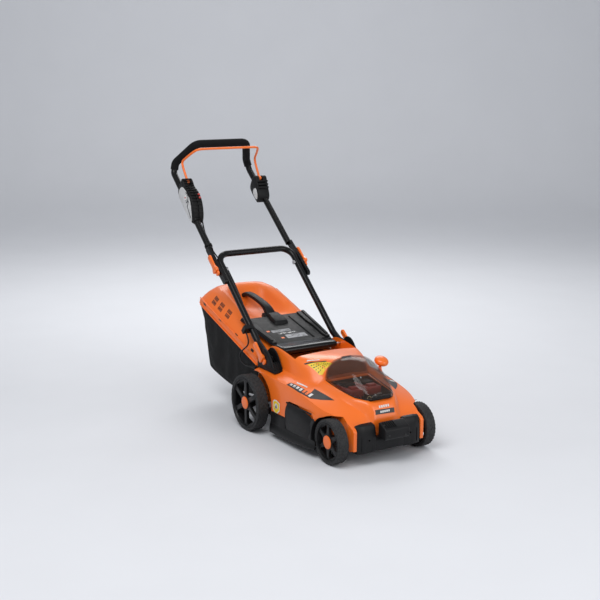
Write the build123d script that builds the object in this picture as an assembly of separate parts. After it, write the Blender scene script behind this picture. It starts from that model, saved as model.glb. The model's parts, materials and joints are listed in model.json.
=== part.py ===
"""Small cordless push lawn mower with a rear grass catcher and a folding handle.

The mower is drawn in millimetres with x = 0 at the front axle, +X forward, +Y to the mower's left and
z = 0 on the ground. save() slides every piece forward so that the origin is the bottom centre of the
whole mower's box.
"""
import os
from math import atan2, cos, hypot, radians, sin, tan

from build123d import *

# ---- driving dimensions ----
FRONT_AXLE_X = 524.5        # front axle ahead of the origin
WHEELBASE = 452.0
FRONT_RADIUS = 75.0
REAR_RADIUS = 100.0
FRONT_WHEEL_Y = (156.0, 194.0)
REAR_WHEEL_Y = (203.0, 247.0)
RIM_DEPTH = 15.0            # tyre section height
STUB_RADIUS = 5.0
SHAFT_RADIUS = 6.0

CRANK = 35.0                # length of the axle cranks
CRANK_ANGLE = 30.0          # cranks point this far above level at the lowest notch
DRIVE_ARM = 28.0            # arms that the tie rod pulls
DRIVE_ANGLE = 120.0

WALL = 3.0                  # moulded wall thickness
SIDE_Y = 200.0              # outer face of the deck sides
POCKET_Y = 141.0            # outer face of the deck beside the front wheels
POCKET_RADIUS = 82.0
CHAMBER_X = -230.0
CHAMBER_RADIUS = 172.0
CHAMBER_TOP = 121.0
HORN_Y = 131.0              # inner face of the two rear horns
RECESS_FLOOR = 245.0
LID_REAR_X = -174.0

TUBE_RADIUS = 12.0
LOWER_Y = 160.0             # centre of the lower handle's side tubes
UPPER_Y = 172.0             # centre of the upper handle's side tubes
FLAT_Y = (172.5, 184.5)     # pressed-flat lower ends of the upper handle
LOWER_PIVOT = (-430.0, 257.0)
UPPER_PIVOT = (-760.0, 523.3)
BOLT_RADIUS = 4.0
BAIL_PIVOT = (-1050.0, 825.0)
BAIL_Y = 160.0
BAIL_RADIUS = 4.5
GRIP_RADIUS = 15.5

FLAP_HINGE = (-412.0, 278.0)
FLAP_SLOPE = 14.0
FLAP_REAR_X = -675.0
CATCHER_FRONT_X = -487.0
LEVER_PIVOT = (-235.0, 68.8)
LEVER_ANGLE = 103.0
LEVER_LENGTH = 164.0
KNOB_Y = 216.0
KNOB_TILT = 18.0
KNOB_RADII = (28, 25, 16)
CABLE_RADIUS = 2.75
BLADE_LENGTH = 324.0
CLEARANCE = 0.3

REAR_AXLE_X = -WHEELBASE
CRANK_BACK = CRANK * cos(radians(CRANK_ANGLE))
CRANK_UP = CRANK * sin(radians(CRANK_ANGLE))
FRONT_SHAFT = (-CRANK_BACK, FRONT_RADIUS - CRANK_UP)
REAR_SHAFT = (REAR_AXLE_X - CRANK_BACK, REAR_RADIUS - CRANK_UP)
DRIVE_DX = DRIVE_ARM * cos(radians(DRIVE_ANGLE))
DRIVE_DZ = DRIVE_ARM * sin(radians(DRIVE_ANGLE))


# ---- small helpers ----
def block(x0, x1, y0, y1, z0, z1):
    return Pos((x0 + x1) / 2, (y0 + y1) / 2, (z0 + z1) / 2) * Box(x1 - x0, y1 - y0, z1 - z0)


def rod_y(xz, y0, y1, radius):
    return Pos(xz[0], (y0 + y1) / 2, xz[1]) * Rot(90, 0, 0) * Cylinder(radius, y1 - y0)


def rod_x(x0, x1, y, z, radius):
    return Pos((x0 + x1) / 2, y, z) * Rot(0, 90, 0) * Cylinder(radius, x1 - x0)


def rod_z(x, y, z0, z1, radius):
    return Pos(x, y, (z0 + z1) / 2) * Cylinder(radius, z1 - z0)


def plate_xz(points, y0, y1):
    """A plate with the given outline in the XZ plane, from y0 to y1."""
    face = make_face(Polyline(*[(x, y0, z) for x, z in points], close=True))
    return extrude(face, amount=y1 - y0, dir=(0, 1, 0))


def plate_xy(points, z0, z1):
    face = make_face(Polyline(*[(x, y, z0) for x, y in points], close=True))
    return extrude(face, amount=z1 - z0, dir=(0, 0, 1))


def plate_yz(points, x0, x1):
    face = make_face(Polyline(*[(x0, y, z) for y, z in points], close=True))
    return extrude(face, amount=x1 - x0, dir=(1, 0, 0))


def mirrored(points):
    """Closed outline from half of it, listed from y > 0 towards the middle."""
    return points + [(-y, z) for y, z in reversed(points) if y > 0]


def body_loft(stations, inset=0.0, drop=0.0):
    """Straight-sided loft through half-sections; inset pulls its walls in and drop lowers its bottom edge."""
    faces = []
    for x, half in stations:
        shrunk = [(max(y - inset, 0.0), z - inset) for y, z in half]
        shrunk[0] = (shrunk[0][0], shrunk[0][1] - drop)
        faces.append(make_face(Polyline(*[(x, y, z) for y, z in mirrored(shrunk)], close=True)))
    return loft(faces, ruled=True)


def arm(a, b, y0, y1, radius):
    """Flat link with round ends between two points of the XZ plane."""
    angle = atan2(b[1] - a[1], b[0] - a[0])
    dx, dz = -radius * sin(angle), radius * cos(angle)
    corners = [(a[0] + dx, a[1] + dz), (b[0] + dx, b[1] + dz), (b[0] - dx, b[1] - dz), (a[0] - dx, a[1] - dz)]
    return plate_xz(corners, y0, y1) + rod_y(a, y0, y1, radius) + rod_y(b, y0, y1, radius)


def arc_radii(points, share=0.45, largest=400.0):
    """Radius of each corner's arc: as large as its two runs allow."""
    radii = []
    for before, corner, after in zip(points, points[1:], points[2:]):
        run_in = Vector(*corner) - Vector(*before)
        run_out = Vector(*after) - Vector(*corner)
        turn = radians(run_in.get_angle(run_out))
        radii.append(min(largest, share * min(run_in.length, run_out.length) / tan(turn / 2)))
    return radii


def sweep_round(points, radii, outer, inner=0.0):
    path = FilletPolyline(*points, radius=radii)
    profile = Circle(outer) - Circle(inner) if inner else Circle(outer)
    return sweep(Plane(origin=path @ 0, z_dir=path % 0) * profile, path)


def cable_solid(name, points):
    radii = arc_radii(points)
    solid = sweep_round(points, radii, CABLE_RADIUS)
    print(name, "bend radii", [round(r) for r in radii], "volume", round(solid.volume))
    return solid


def both_sides(solid):
    return solid, mirror(solid, about=Plane.XZ)


def both_copies(solid):
    """The solid and its mirror image as one compound."""
    return Compound(children=list(both_sides(solid)))


def group(*solids):
    return Compound(children=[s for item in solids for s in item.solids()])


# ---- top cover ----
HOOD_STATIONS = [
    (-470, [(196, 84), (196, 212), (141, 222), (136, 285), (100, 285), (0, 285)]),
    (-440, [(197, 80), (196, 212), (141, 222), (134, 302), (100, 302), (0, 302)]),
    (-385, [(199, 78), (195, 210), (141, 222), (134, 298), (100, 298), (0, 298)]),
    (-290, [(200, 76), (194, 206), (144, 222), (136, 280), (100, 289), (0, 290)]),
    (-240, [(200, 76), (192, 203), (142, 220), (128, 262), (75, 288), (0, 298)]),
    (LID_REAR_X, [(200, 78), (188, 195), (128, 213), (92, 232), (66, 274), (0, 296)]),
]
NOSE_STATIONS = [
    (LID_REAR_X, [(200, 78), (188, 195), (128, 213), (92, 226), (0, 226)]),
    (-100, [(200, 80), (186, 182), (118, 200), (90, 213), (0, 213)]),
    (-60, [(199, 62), (184, 172), (108, 194), (86, 208), (0, 208)]),
    (-7, [(185, 56), (168, 162), (92, 180), (78, 200.5), (0, 200.5)]),
    (32, [(156, 53), (148, 150), (72, 158), (44, 197.5), (0, 197.5)]),
    (49, [(146, 51), (138, 132), (60, 140), (42, 168), (0, 168)]),
    (58, [(141, 50), (134, 124), (58, 126), (50, 140), (0, 140)]),
]


def wheel_pocket(y_inner, radius):
    y_outer = SIDE_Y + 20
    hollow = rod_y((0, FRONT_RADIUS), y_inner, y_outer, radius)
    hollow += block(-radius, radius, y_inner, y_outer, 0, FRONT_RADIUS)
    return both_copies(hollow)


def bay_outline(gap):
    return [(-166 - gap, 80 + gap), (-14 + gap / 2, 74 + gap), (26 + gap, 38 + gap / 2),
            (26 + gap, -38 - gap / 2), (-14 + gap / 2, -74 - gap), (-166 - gap, -80 - gap)]


def top_cover():
    outer = body_loft(HOOD_STATIONS) + body_loft(NOSE_STATIONS)
    outer -= block(-480, -292, -HORN_Y, HORN_Y, RECESS_FLOOR, 330)
    outer -= wheel_pocket(POCKET_Y, POCKET_RADIUS)

    rear = [(x + 3, half) if x == -470 else (x, half) for x, half in HOOD_STATIONS[:-1]]
    rear.append((LID_REAR_X - WALL, HOOD_STATIONS[-1][1]))
    front = [(LID_REAR_X - 8, NOSE_STATIONS[0][1])] + NOSE_STATIONS[1:-1]
    front.append((55, NOSE_STATIONS[-1][1]))
    hollow = body_loft(rear, WALL, 20) + body_loft(front, WALL, 20)
    hollow -= block(-480, -292 + WALL, -HORN_Y - 8, HORN_Y + 8, RECESS_FLOOR - WALL, 330)
    hollow -= wheel_pocket(POCKET_Y - WALL, POCKET_RADIUS + WALL)

    cover = outer - hollow
    cover -= plate_xy(bay_outline(0), 150, 222)
    cover -= block(-480, -460, -122, 122, 60, 239)
    for side in (-1, 1):
        y0, y1 = sorted((side * 178, side * 220))
        cover -= rod_y((REAR_AXLE_X, REAR_RADIUS), y0, y1, 108)
        cover -= block(-520, -352, y0, y1, 0, REAR_RADIUS)
        y0, y1 = sorted((side * 190, side * 220))
        cover -= block(-245, -83, y0, y1, 40, 151)
        y0, y1 = sorted((side * 130, side * 150))
        cover -= rod_y(FRONT_SHAFT, y0, y1, SHAFT_RADIUS + 2)
    cover -= block(LEVER_PIVOT[0] - 30, LEVER_PIVOT[0] + 30, 187, SIDE_Y + 5, 40, 110)
    cover -= block(-186, -170, -22, 22, 284, 310)
    return max(cover.solids(), key=lambda s: s.volume)


# ---- lower deck ----
def deck_shell():
    rear_floor = block(-460, -88, -195.5, 195.5, 60, 64)
    front_floor = block(-92, 52, -134, 134, 68, 72) + block(-92, -88, -134, 134, 60, 72)
    shell = rear_floor + front_floor
    shell += rod_z(CHAMBER_X, 0, 22, CHAMBER_TOP, CHAMBER_RADIUS)
    tunnel = [(-360, 64), (-360, 121), (-466, 234), (-466, 106), (-440, 64)]
    shell += plate_xz(tunnel, -118, 118)
    shell -= rod_z(CHAMBER_X, 0, 0, CHAMBER_TOP - WALL, CHAMBER_RADIUS - WALL)
    throat = [(-330, 67), (-441.5, 67), (-470, 112), (-470, 232), (-362, 117), (-330, 117)]
    shell -= plate_xz(throat, -114, 114)
    shell -= rod_z(CHAMBER_X, 0, 100, 140, 14)
    shell -= block(-290, -180, -190, -120, 68, 112)
    shell -= block(-85, 5, 112, 140, 55, 90)
    shell -= block(LEVER_PIVOT[0] - 28, LEVER_PIVOT[0] + 28, 186, 200, 55, 70)
    for side in (-1, 1):
        y0, y1 = sorted((side * 176, side * 200))
        shell -= block(-520, -352, y0, y1, 0, 140)
    return max(shell.solids(), key=lambda s: s.volume)


def side_skirt(side):
    """Black panel under the cover's side edge, with the ledge that juts out at its foot."""
    outline = [(196.2, 30), (196.2, 75.5), (199.8, 75.5), (199.8, 34), (211, 29), (211, 20), (196.2, 20)]
    panel = plate_yz(outline, -342, -88)
    step = plate_yz([(196.2, 34), (196.2, 75.5), (203, 75.5), (203, 34)], -342, -247)
    panel += step
    panel -= rod_y(LEVER_PIVOT, 190, 215, 7.5)
    panel -= block(-245, -83, 190, 230, 55, 90)
    if side < 0:
        return mirror(panel, about=Plane.XZ)
    panel += block(-243, -86, 196.2, 199.8, 54, 149)
    panel -= block(-300, -80, 202, 215, 34, 160)
    return panel - rod_y(LEVER_PIVOT, 190, 215, 7.5)


CHUTE_OUTLINE = [(196.5, 149), (204, 146), (210, 134), (212, 112), (211, 55.5), (208, 55.5), (209, 112),
                 (207, 133), (202, 143), (196.5, 145.5)]


def discharge_cover():
    shell = mirror(plate_yz(CHUTE_OUTLINE, -241, -87), about=Plane.XZ)
    barrel = rod_x(-241, -87, -199, 147.5, 3)
    return shell + barrel


def front_bumper():
    lobe = block(58.3, 76, 58, 126, 42, 138)
    lobe -= plate_xy([(64, 130), (80, 112), (80, 130)], 30, 150)
    middle = block(58.3, 80, -58, 58, 42, 90)
    return lobe + mirror(lobe, about=Plane.XZ) + middle


def nose_box():
    outline = [(80.3, 90.3), (80.3, 138), (86, 140), (117, 126), (123, 92), (116, 86), (80.3, 86)]
    shell = plate_xz(outline, -48, 48)
    cavity = [(80, 92), (80, 134), (86, 136), (114, 123.5), (119.5, 92), (115, 89), (80, 89)]
    return shell - plate_xz(cavity, -45, 45)


def battery_tray():
    tray = plate_xy(bay_outline(-1.5), 140, 200) - plate_xy(bay_outline(-4), 142.5, 205)
    rib = block(-50, -47, -70, 70, 142.5, 175)
    return tray + rib


def battery_pack(side):
    y0, y1 = sorted((side * 5, side * 66))
    pack = block(-150, -58, y0, y1, 143, 212)
    pack = fillet(pack.edges().filter_by(Axis.Z), 6)
    return pack + block(-140, -68, y0 + 8, y1 - 8, 212, 222)


def wiring_loom():
    wires = []
    routes = (
        [(-44, -52, 150), (-40, -52, 185), (-20, -44, 205), (0, -30, 185), (2, -26, 150)],
        [(-44, -34, 150), (-38, -30, 190), (-14, -16, 212), (8, -6, 186), (8, -4, 150)],
        [(-44, 20, 150), (-40, 24, 180), (-18, 30, 200), (0, 34, 180), (2, 34, 150)],
    )
    for route in routes:
        wires.append(sweep_round(route, arc_radii(route), 2.2))
    sockets = block(-46.9, -30, -60, 45, 143, 149.5) + block(-6, 14, -34, 38, 143, 149.5)
    return group(*wires, sockets)


def motor_can():
    can = rod_z(CHAMBER_X, 0, 124.2, 205, 55) + rod_z(CHAMBER_X, 0, 205, 216, 24)
    can = fillet(can.edges().filter_by(GeomType.CIRCLE).sort_by(Axis.Z)[-1:], 4)
    return can - rod_z(CHAMBER_X, 0, 100, 190, 6.4)


def motor_mount():
    plate = rod_z(CHAMBER_X, 0, 121.1, 124.1, 76) - rod_z(CHAMBER_X, 0, 100, 140, 14)
    screws = []
    for k in range(4):
        angle = radians(45 + 90 * k)
        screws.append(rod_z(CHAMBER_X + 66 * cos(angle), 66 * sin(angle), 124.2, 129, 6))
    return group(plate, *screws)


def controller_box():
    return fillet(block(-152, -92, -38, 38, 121.3, 138).edges().filter_by(Axis.Z), 5)


def axle_clamps():
    clamps = []
    for side in (-1, 1):
        y0, y1 = sorted((side * 96, side * 110))
        front = block(-46, -14, y0, y1, 46, 67.8) - rod_y(FRONT_SHAFT, -200, 200, SHAFT_RADIUS + CLEARANCE)
        y0, y1 = sorted((side * 148, side * 164))
        rear = block(-494, -446, y0, y1, 64.2, 98) - rod_y(REAR_SHAFT, -200, 200, SHAFT_RADIUS + CLEARANCE)
        rear -= block(-480, -440, y0, y1, 80, 120)
        clamps += [front, rear]
    return group(*clamps)


def height_quadrant():
    """Notched plate beside the height lever, on the left side."""
    plate = block(-288, -247.5, 200.3, 202.8, 78, 150) + block(-247.5, -160, 200.3, 202.8, 152, 178)
    plate += plate_xz([(-288, 150), (-288, 165), (-262, 178), (-160, 178), (-160, 152), (-247.5, 150)],
                      200.3, 202.8)
    for k in range(5):
        angle = radians(LEVER_ANGLE - 15 * k)
        notch = (LEVER_PIVOT[0] + 109 * cos(angle), LEVER_PIVOT[1] + 109 * sin(angle))
        plate -= rod_y(notch, 195, 210, 4)
    return plate


# ---- height adjuster ----
def drive_pin(shaft):
    return (shaft[0] + DRIVE_DX, shaft[1] + DRIVE_DZ)


def axle(shaft, hub, arm_y, stub_end, drive_y, pin_y):
    """Cross shaft with a crank and a wheel stub at each end, and the drive arm on the left."""
    piece = rod_y(shaft, -arm_y[1], arm_y[1], SHAFT_RADIUS)
    for side in (-1, 1):
        y0, y1 = sorted((side * arm_y[0], side * arm_y[1]))
        piece += arm(shaft, hub, y0, y1, 9)
        y0, y1 = sorted((side * arm_y[1], side * stub_end))
        piece += rod_y(hub, y0, y1, STUB_RADIUS)
    pin = drive_pin(shaft)
    piece += arm(shaft, pin, drive_y[0], drive_y[1], 7.5)
    return piece + rod_y(pin, pin_y[0], pin_y[1], 3.5)


def front_axle():
    return axle(FRONT_SHAFT, (0, FRONT_RADIUS), (143, 151), 188, (126, 132), (118, 126))


def rear_axle():
    return axle(REAR_SHAFT, (REAR_AXLE_X, REAR_RADIUS), (189, 197), 241, (189, 197), (180, 189))


def knob_centre():
    angle = radians(LEVER_ANGLE)
    return (LEVER_PIVOT[0] + LEVER_LENGTH * cos(angle), LEVER_PIVOT[1] + LEVER_LENGTH * sin(angle))


def height_lever():
    shaft = rod_y(LEVER_PIVOT, 189, 208, 6)
    knob_xz = knob_centre()
    blade_end = (LEVER_PIVOT[0] + 0.86 * (knob_xz[0] - LEVER_PIVOT[0]),
                 LEVER_PIVOT[1] + 0.86 * (knob_xz[1] - LEVER_PIVOT[1]))
    pin = drive_pin(LEVER_PIVOT)
    lever = shaft + arm(LEVER_PIVOT, blade_end, 204, 208, 8) + arm(LEVER_PIVOT, pin, 189, 195, 7.5)
    lever += rod_y(pin, 180, 189, 3.5)
    knob = Pos(knob_xz[0], KNOB_Y, knob_xz[1]) * Rot(0, KNOB_TILT, 0) * scale(Sphere(1), KNOB_RADII)
    return group(lever - knob, knob)


def tie_rod():
    """Flat rod from the rear drive arm past the lever to the front drive arm, with one joggle."""
    rear, lever, front = drive_pin(REAR_SHAFT), drive_pin(LEVER_PIVOT), drive_pin(FRONT_SHAFT)

    def height(x):
        return rear[1] + (front[1] - rear[1]) * (x - rear[0]) / (front[0] - rear[0])

    rod = arm(rear, (-172, height(-172)), 182, 187, 6)
    joggle = plate_xy([(-174, 182), (-100, 120), (-93, 120), (-93, 125), (-98.5, 125), (-170, 187),
                       (-174, 187)],
                      height(-135) - 5, height(-135) + 5)
    rod += joggle + arm((-97, height(-97)), front, 120, 125, 6)
    for pin in (rear, lever, front):
        rod -= rod_y(pin, 100, 200, 3.5 + CLEARANCE)
    return rod


# ---- wheels ----
def wheel_parts(hub, radius, y_span, side, cap_radius):
    """Tyre, and the spoked rim with its hub cap, for one wheel."""
    y_in, y_out = y_span
    rim_radius = radius - RIM_DEPTH
    tyre = rod_y(hub, y_in, y_out, radius)
    tyre = chamfer(tyre.edges().filter_by(GeomType.CIRCLE), 3)
    tyre -= rod_y(hub, y_in - 1, y_out + 1, rim_radius)

    rim = rod_y(hub, y_in + 1, y_out - 1, rim_radius - 0.1) - rod_y(hub, y_in, y_out, rim_radius - 5)
    rim += rod_y(hub, y_in + 2, y_out - 4, cap_radius + 3)
    spoke_y = (y_out - 16, y_out - 5)
    for k in range(6):
        angle = radians(60 * k + 30)
        root = (hub[0] + cap_radius * cos(angle), hub[1] + cap_radius * sin(angle))
        tip = (hub[0] + (rim_radius - 8) * cos(angle), hub[1] + (rim_radius - 8) * sin(angle))
        rim += arm(root, tip, spoke_y[0], spoke_y[1], 5.5)
    rim -= rod_y(hub, y_in - 1, y_out - 6, STUB_RADIUS + CLEARANCE)
    cap = rod_y(hub, y_out - 3.9, y_out, cap_radius)
    cap = fillet(cap.faces().sort_by(Axis.Y)[-1].edges(), 2)
    pieces = (tyre, group(rim, cap))
    if side < 0:
        pieces = tuple(mirror(piece, about=Plane.XZ) for piece in pieces)
    return pieces


# ---- cutter ----
def motor_spindle():
    return rod_z(CHAMBER_X, 0, 44, 186, 6) + rod_z(CHAMBER_X, 0, 108, 114, 11)


def blade_adapter():
    hub = rod_z(CHAMBER_X, 0, 52, 88, 17) + rod_z(CHAMBER_X, 0, 52, 55, 42)
    for k in range(8):
        vane = block(CHAMBER_X + 14, CHAMBER_X + 40, -1.2, 1.2, 54, 72)
        hub += vane.rotate(Axis((CHAMBER_X, 0, 0), (0, 0, 1)), 45 * k)
    return hub - rod_z(CHAMBER_X, 0, 40, 100, 6.05)


def blade():
    half = BLADE_LENGTH / 2
    bar = block(CHAMBER_X - half, CHAMBER_X + half, -22, 22, 48, 51.9)
    wing = plate_yz([(4, 51), (22, 51), (22, 62), (20, 64), (17, 54)], CHAMBER_X + half - 55,
                    CHAMBER_X + half)
    bar += wing + wing.rotate(Axis((CHAMBER_X, 0, 0), (0, 0, 1)), 180)
    return bar - rod_z(CHAMBER_X, 0, 40, 70, 6.05)


def blade_bolt():
    head = Pos(CHAMBER_X, 0, 39) * extrude(RegularPolygon(9, 6), amount=4.8)
    return head + rod_z(CHAMBER_X, 0, 43.8, 47.9, 16) - rod_z(CHAMBER_X, 0, 43.9, 50, 6.05)


# ---- battery lid ----
LID_STATIONS = [
    (LID_REAR_X + 1, [(88, 227.5), (84, 262), (62, 286), (30, 296), (0, 298)]),
    (-126, [(87, 219.3), (83, 262), (62, 294), (30, 307), (0, 310)]),
    (-60, [(83, 209.5), (78, 248), (56, 276), (28, 288), (0, 291)]),
    (-7, [(76, 202.5), (70, 224), (48, 240), (24, 248), (0, 250)]),
    (32, [(42, 198.8), (39, 204), (28, 207), (14, 209), (0, 210)]),
]


def battery_lid():
    outer = body_loft(LID_STATIONS)
    inner = [(LID_STATIONS[0][0] + 2.5, LID_STATIONS[0][1])]
    inner += LID_STATIONS[1:-1]
    inner += [(29.5, LID_STATIONS[-1][1])]
    lid = outer - body_loft(inner, 2.5, 10)
    return lid + rod_y((LID_REAR_X - 3, 294), -18, 18, 4.2) + block(-176, -170, -18, 18, 292, 297)


# ---- rear flap ----
def slope_z(x):
    return FLAP_HINGE[1] + (FLAP_HINGE[0] - x) * tan(radians(FLAP_SLOPE))


def rear_flap():
    x0, x1 = FLAP_HINGE[0], FLAP_REAR_X
    plate = plate_xz([(x0, slope_z(x0) + 2), (x1, slope_z(x1) + 2), (x1, slope_z(x1) - 2),
                      (x0, slope_z(x0) - 2)],
                     -140, 140)
    plate &= plate_xy([(x0, 112), (-475, 126), (x1, 140), (x1, -140), (-475, -126), (x0, -112)], 200, 400)
    rim = plate_xz([(-480, slope_z(-480)), (x1, slope_z(x1)), (x1, slope_z(x1) + 8),
                    (-490, slope_z(-490) + 8)],
                   121, 125)
    roll = rod_y(FLAP_HINGE, -114, 114, 13)
    flap = plate + roll + rim + mirror(rim, about=Plane.XZ)
    return flap - rod_y(FLAP_HINGE, -130, 130, 4 + CLEARANCE)


def flap_hinge_rod():
    return rod_y(FLAP_HINGE, -HORN_Y + 0.1, HORN_Y - 0.1, 4)


# ---- grass catcher ----
CATCHER_LID_STATIONS = [
    (CATCHER_FRONT_X - 1, [(172, 214), (158, 268), (120, 285), (24, 288), (0, 288)]),
    (-672, [(172, 272), (158, 314), (120, 329), (24, 331), (0, 331)]),
    (-700, [(172, 281), (156, 335), (120, 345), (24, 336), (0, 336)]),
    (-800, [(172, 314), (152, 372), (110, 382), (24, 352), (0, 352)]),
    (-880, [(172, 340), (150, 398), (105, 425), (24, 368), (0, 368)]),
    (-935, [(172, 358), (145, 411), (90, 440), (24, 446), (0, 446)]),
    (-958, [(166, 366), (138, 398), (85, 425), (24, 432), (0, 432)]),
]
BAG_STATIONS = [
    (CATCHER_FRONT_X - 1, [(168, 104), (170, 160), (170, 213.5)]),
    (-600, [(166, 86), (171, 170), (171, 247.5)]),
    (-685, [(166, 93), (172, 190), (172, 275.5)]),
    (-881, [(160, 117), (172, 230), (172, 339.5)]),
    (-946, [(160, 320), (168, 340), (168, 360.5)]),
]


def catcher_lid():
    outer = body_loft(CATCHER_LID_STATIONS)
    inner = CATCHER_LID_STATIONS[:-1] + [(-955, CATCHER_LID_STATIONS[-1][1])]
    inner = [(CATCHER_FRONT_X + 5, inner[0][1])] + inner[1:]
    lid = outer - body_loft(inner, WALL, 12)
    slots = []
    for first in (-560, -680, -800):
        for k in range(4):
            x = first - 18 * k
            z = 214 + (CATCHER_FRONT_X - x) * 0.33 + 22
            slots.append(block(x - 5, x + 5, -200, 200, z, z + 22))
    for slot in slots:
        lid -= slot
    return max(lid.solids(), key=lambda s: s.volume)


def catcher_bag():
    outer = body_loft(BAG_STATIONS)
    inner = [(CATCHER_FRONT_X + 5, BAG_STATIONS[0][1])] + BAG_STATIONS[1:-1] + [(-941, BAG_STATIONS[-1][1])]
    faces = []
    for x, half in inner:
        shrunk = [(half[0][0] - 4, half[0][1] + 4), (half[1][0] - 4, half[1][1]),
                  (half[2][0] - 4, half[2][1] + 20)]
        faces.append(make_face(Polyline(*[(x, y, z) for y, z in mirrored(shrunk)], close=True)))
    return outer - loft(faces, ruled=True)


def catcher_frame():
    ring = block(CATCHER_FRONT_X - 0.7, -478, -158, 158, 106, 258)
    return ring - block(-500, -470, -146, 146, 116, 248)


def catcher_handle():
    route = [(-690, 0, 338.5), (-712, 0, 372), (-810, 0, 390), (-872, 0, 394), (-893, 0, 384)]
    path = FilletPolyline(*route, radius=[14, 60, 14])
    grip = sweep(Plane(origin=path @ 0, x_dir=(0, 1, 0), z_dir=path % 0) * RectangleRounded(24, 10, 4), path)
    return grip


# ---- handle ----
def lower_path():
    half = [(-405.4, LOWER_Y, 243.7), (-504, LOWER_Y, 297), (-815, LOWER_Y, 572)]
    return half + [(x, -y, z) for x, y, z in reversed(half)]


def lower_handle_tube():
    tube = sweep_round(lower_path(), [60, 46, 46, 60], TUBE_RADIUS, TUBE_RADIUS - 1.5)
    tube -= rod_y(LOWER_PIVOT, -200, 200, BOLT_RADIUS + CLEARANCE)
    return tube - rod_y(UPPER_PIVOT, -200, 200, BOLT_RADIUS + 0.05)


UPPER_HALF = [(-843, UPPER_Y, 586), (-1153, 170, 852), (-1158.7, 160, 892), (-1071, 112, 969)]
UPPER_RADII = [25, 22, 35]


def upper_path(first=None):
    half = UPPER_HALF if first is None else [first] + UPPER_HALF[2:]
    return half + [(x, -y, z) for x, y, z in reversed(half)]


def flat_direction():
    dx, dz = UPPER_HALF[0][0] - UPPER_PIVOT[0], UPPER_HALF[0][2] - UPPER_PIVOT[1]
    length = hypot(dx, dz)
    return dx / length, dz / length


def upper_handle_tube():
    tube = sweep_round(upper_path(), UPPER_RADII + UPPER_RADII[::-1], TUBE_RADIUS, TUBE_RADIUS - 1.5)
    dx, dz = flat_direction()
    start = (UPPER_PIVOT[0] - 58 * dx, UPPER_PIVOT[1] - 58 * dz)
    end = (UPPER_HALF[0][0] + 3 * dx, UPPER_HALF[0][2] + 3 * dz)
    flat = arm(start, end, FLAT_Y[0], FLAT_Y[1], TUBE_RADIUS - 0.5)
    for piece in both_sides(flat):
        tube += piece
    return tube - rod_y(UPPER_PIVOT, -200, 200, BOLT_RADIUS + CLEARANCE)


def foam_grip():
    b, c = UPPER_HALF[1], UPPER_HALF[2]
    share = 0.36
    first = tuple(b[i] + share * (c[i] - b[i]) for i in range(3))
    radii = UPPER_RADII[1:] + UPPER_RADII[1:][::-1]
    return sweep_round(upper_path(first), radii, GRIP_RADIUS, TUBE_RADIUS + 0.05)


def upper_pivot_bolts():
    bolt = rod_y(UPPER_PIVOT, 146.5, 189.5, BOLT_RADIUS) + rod_y(UPPER_PIVOT, 143, 147.9, 8)
    bolt += rod_y(UPPER_PIVOT, 184.9, 189.5, 10)
    return both_copies(bolt)


def handle_bracket(side):
    x, z = LOWER_PIVOT
    cheek = [(x - 34, 222.6), (x - 24, z + 4), (x + 24, z + 4), (x + 36, 222.6)]
    base = plate_yz([(143.5, 222.6), (178, 216.6), (178, 225.4), (143.5, 225.4)], x - 34, x + 36)
    bracket = base
    for y0, y1 in ((143.5, 146.5), (174, 178)):
        bracket += plate_xz(cheek, y0, y1) + rod_y(LOWER_PIVOT, y0, y1, 24)
    bracket -= rod_y(LOWER_PIVOT, 140, 190, BOLT_RADIUS + 0.05)
    bolt = rod_y(LOWER_PIVOT, 141.6, 182.6, BOLT_RADIUS) + rod_y(LOWER_PIVOT, 140.6, 143.4, 8)
    bolt += rod_y(LOWER_PIVOT, 178.1, 182.6, 10)
    piece = group(bracket, bolt)
    return piece if side > 0 else mirror(piece, about=Plane.XZ)


def cam_lever(pivot, y, slope, side):
    """Quick-release lever lying up along the tube; it flips outward about its cam end."""
    along = (-cos(radians(slope)), 0, sin(radians(slope)))
    across = (sin(radians(slope)), 0, cos(radians(slope)))
    frame = Plane(origin=(pivot[0], y, pivot[1]), x_dir=along, z_dir=across)
    outward = 1 if frame.y_dir.Y > 0 else -1
    outline = Circle(5) + Pos(31, outward * 0.5) * Rectangle(62, 6.5)
    solid = extrude(frame * outline, amount=8, both=True)
    return solid if side > 0 else mirror(solid, about=Plane.XZ)


# ---- controls ----
def tube_bore():
    start, end = Vector(*UPPER_HALF[0]), Vector(*UPPER_HALF[1])
    along = (end - start).normalized()
    plane = Plane(origin=start + along * 120, z_dir=along)
    return extrude(plane * Circle(TUBE_RADIUS + 0.1), amount=260)


def control_box(outline, y0, y1):
    box_body = plate_xz(outline, y0, y1) - tube_bore()
    slot = block(BAIL_PIVOT[0] - 62, BAIL_PIVOT[0] + 40, BAIL_Y - 8, BAIL_Y + 8, BAIL_PIVOT[1] - 14, 900)
    return box_body - slot


SWITCH_OUTLINE = [(-1096, 806), (-1082, 828), (-1052, 843), (-1015, 832), (-962, 790), (-953, 768),
                  (-968, 742),
                  (-1000, 722), (-1041, 700), (-1062, 716)]
PIVOT_OUTLINE = [(-1086, 812), (-1076, 832), (-1050, 842), (-1010, 834), (-990, 822), (-1000, 790),
                 (-1032, 748),
                 (-1060, 760)]


def switch_box_inner():
    half = control_box(SWITCH_OUTLINE, 132, 161.8)
    half += rod_y(BAIL_PIVOT, 150, 161.8, 4)
    half -= cable_keepout()
    return mirror(max(half.solids(), key=lambda s: s.volume), about=Plane.XZ)


def switch_box_outer():
    half = control_box(SWITCH_OUTLINE, 162, 190) + rod_y(BAIL_PIVOT, 162, 170, 4)
    half -= rod_y((-1008, 770), 184, 200, 11.4)
    return mirror(max(half.solids(), key=lambda s: s.volume), about=Plane.XZ)


def safety_button():
    button = rod_y((-1008, 770), 186.5, 194, 11)
    return mirror(fillet(button.faces().sort_by(Axis.Y)[-1].edges(), 2), about=Plane.XZ)


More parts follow.
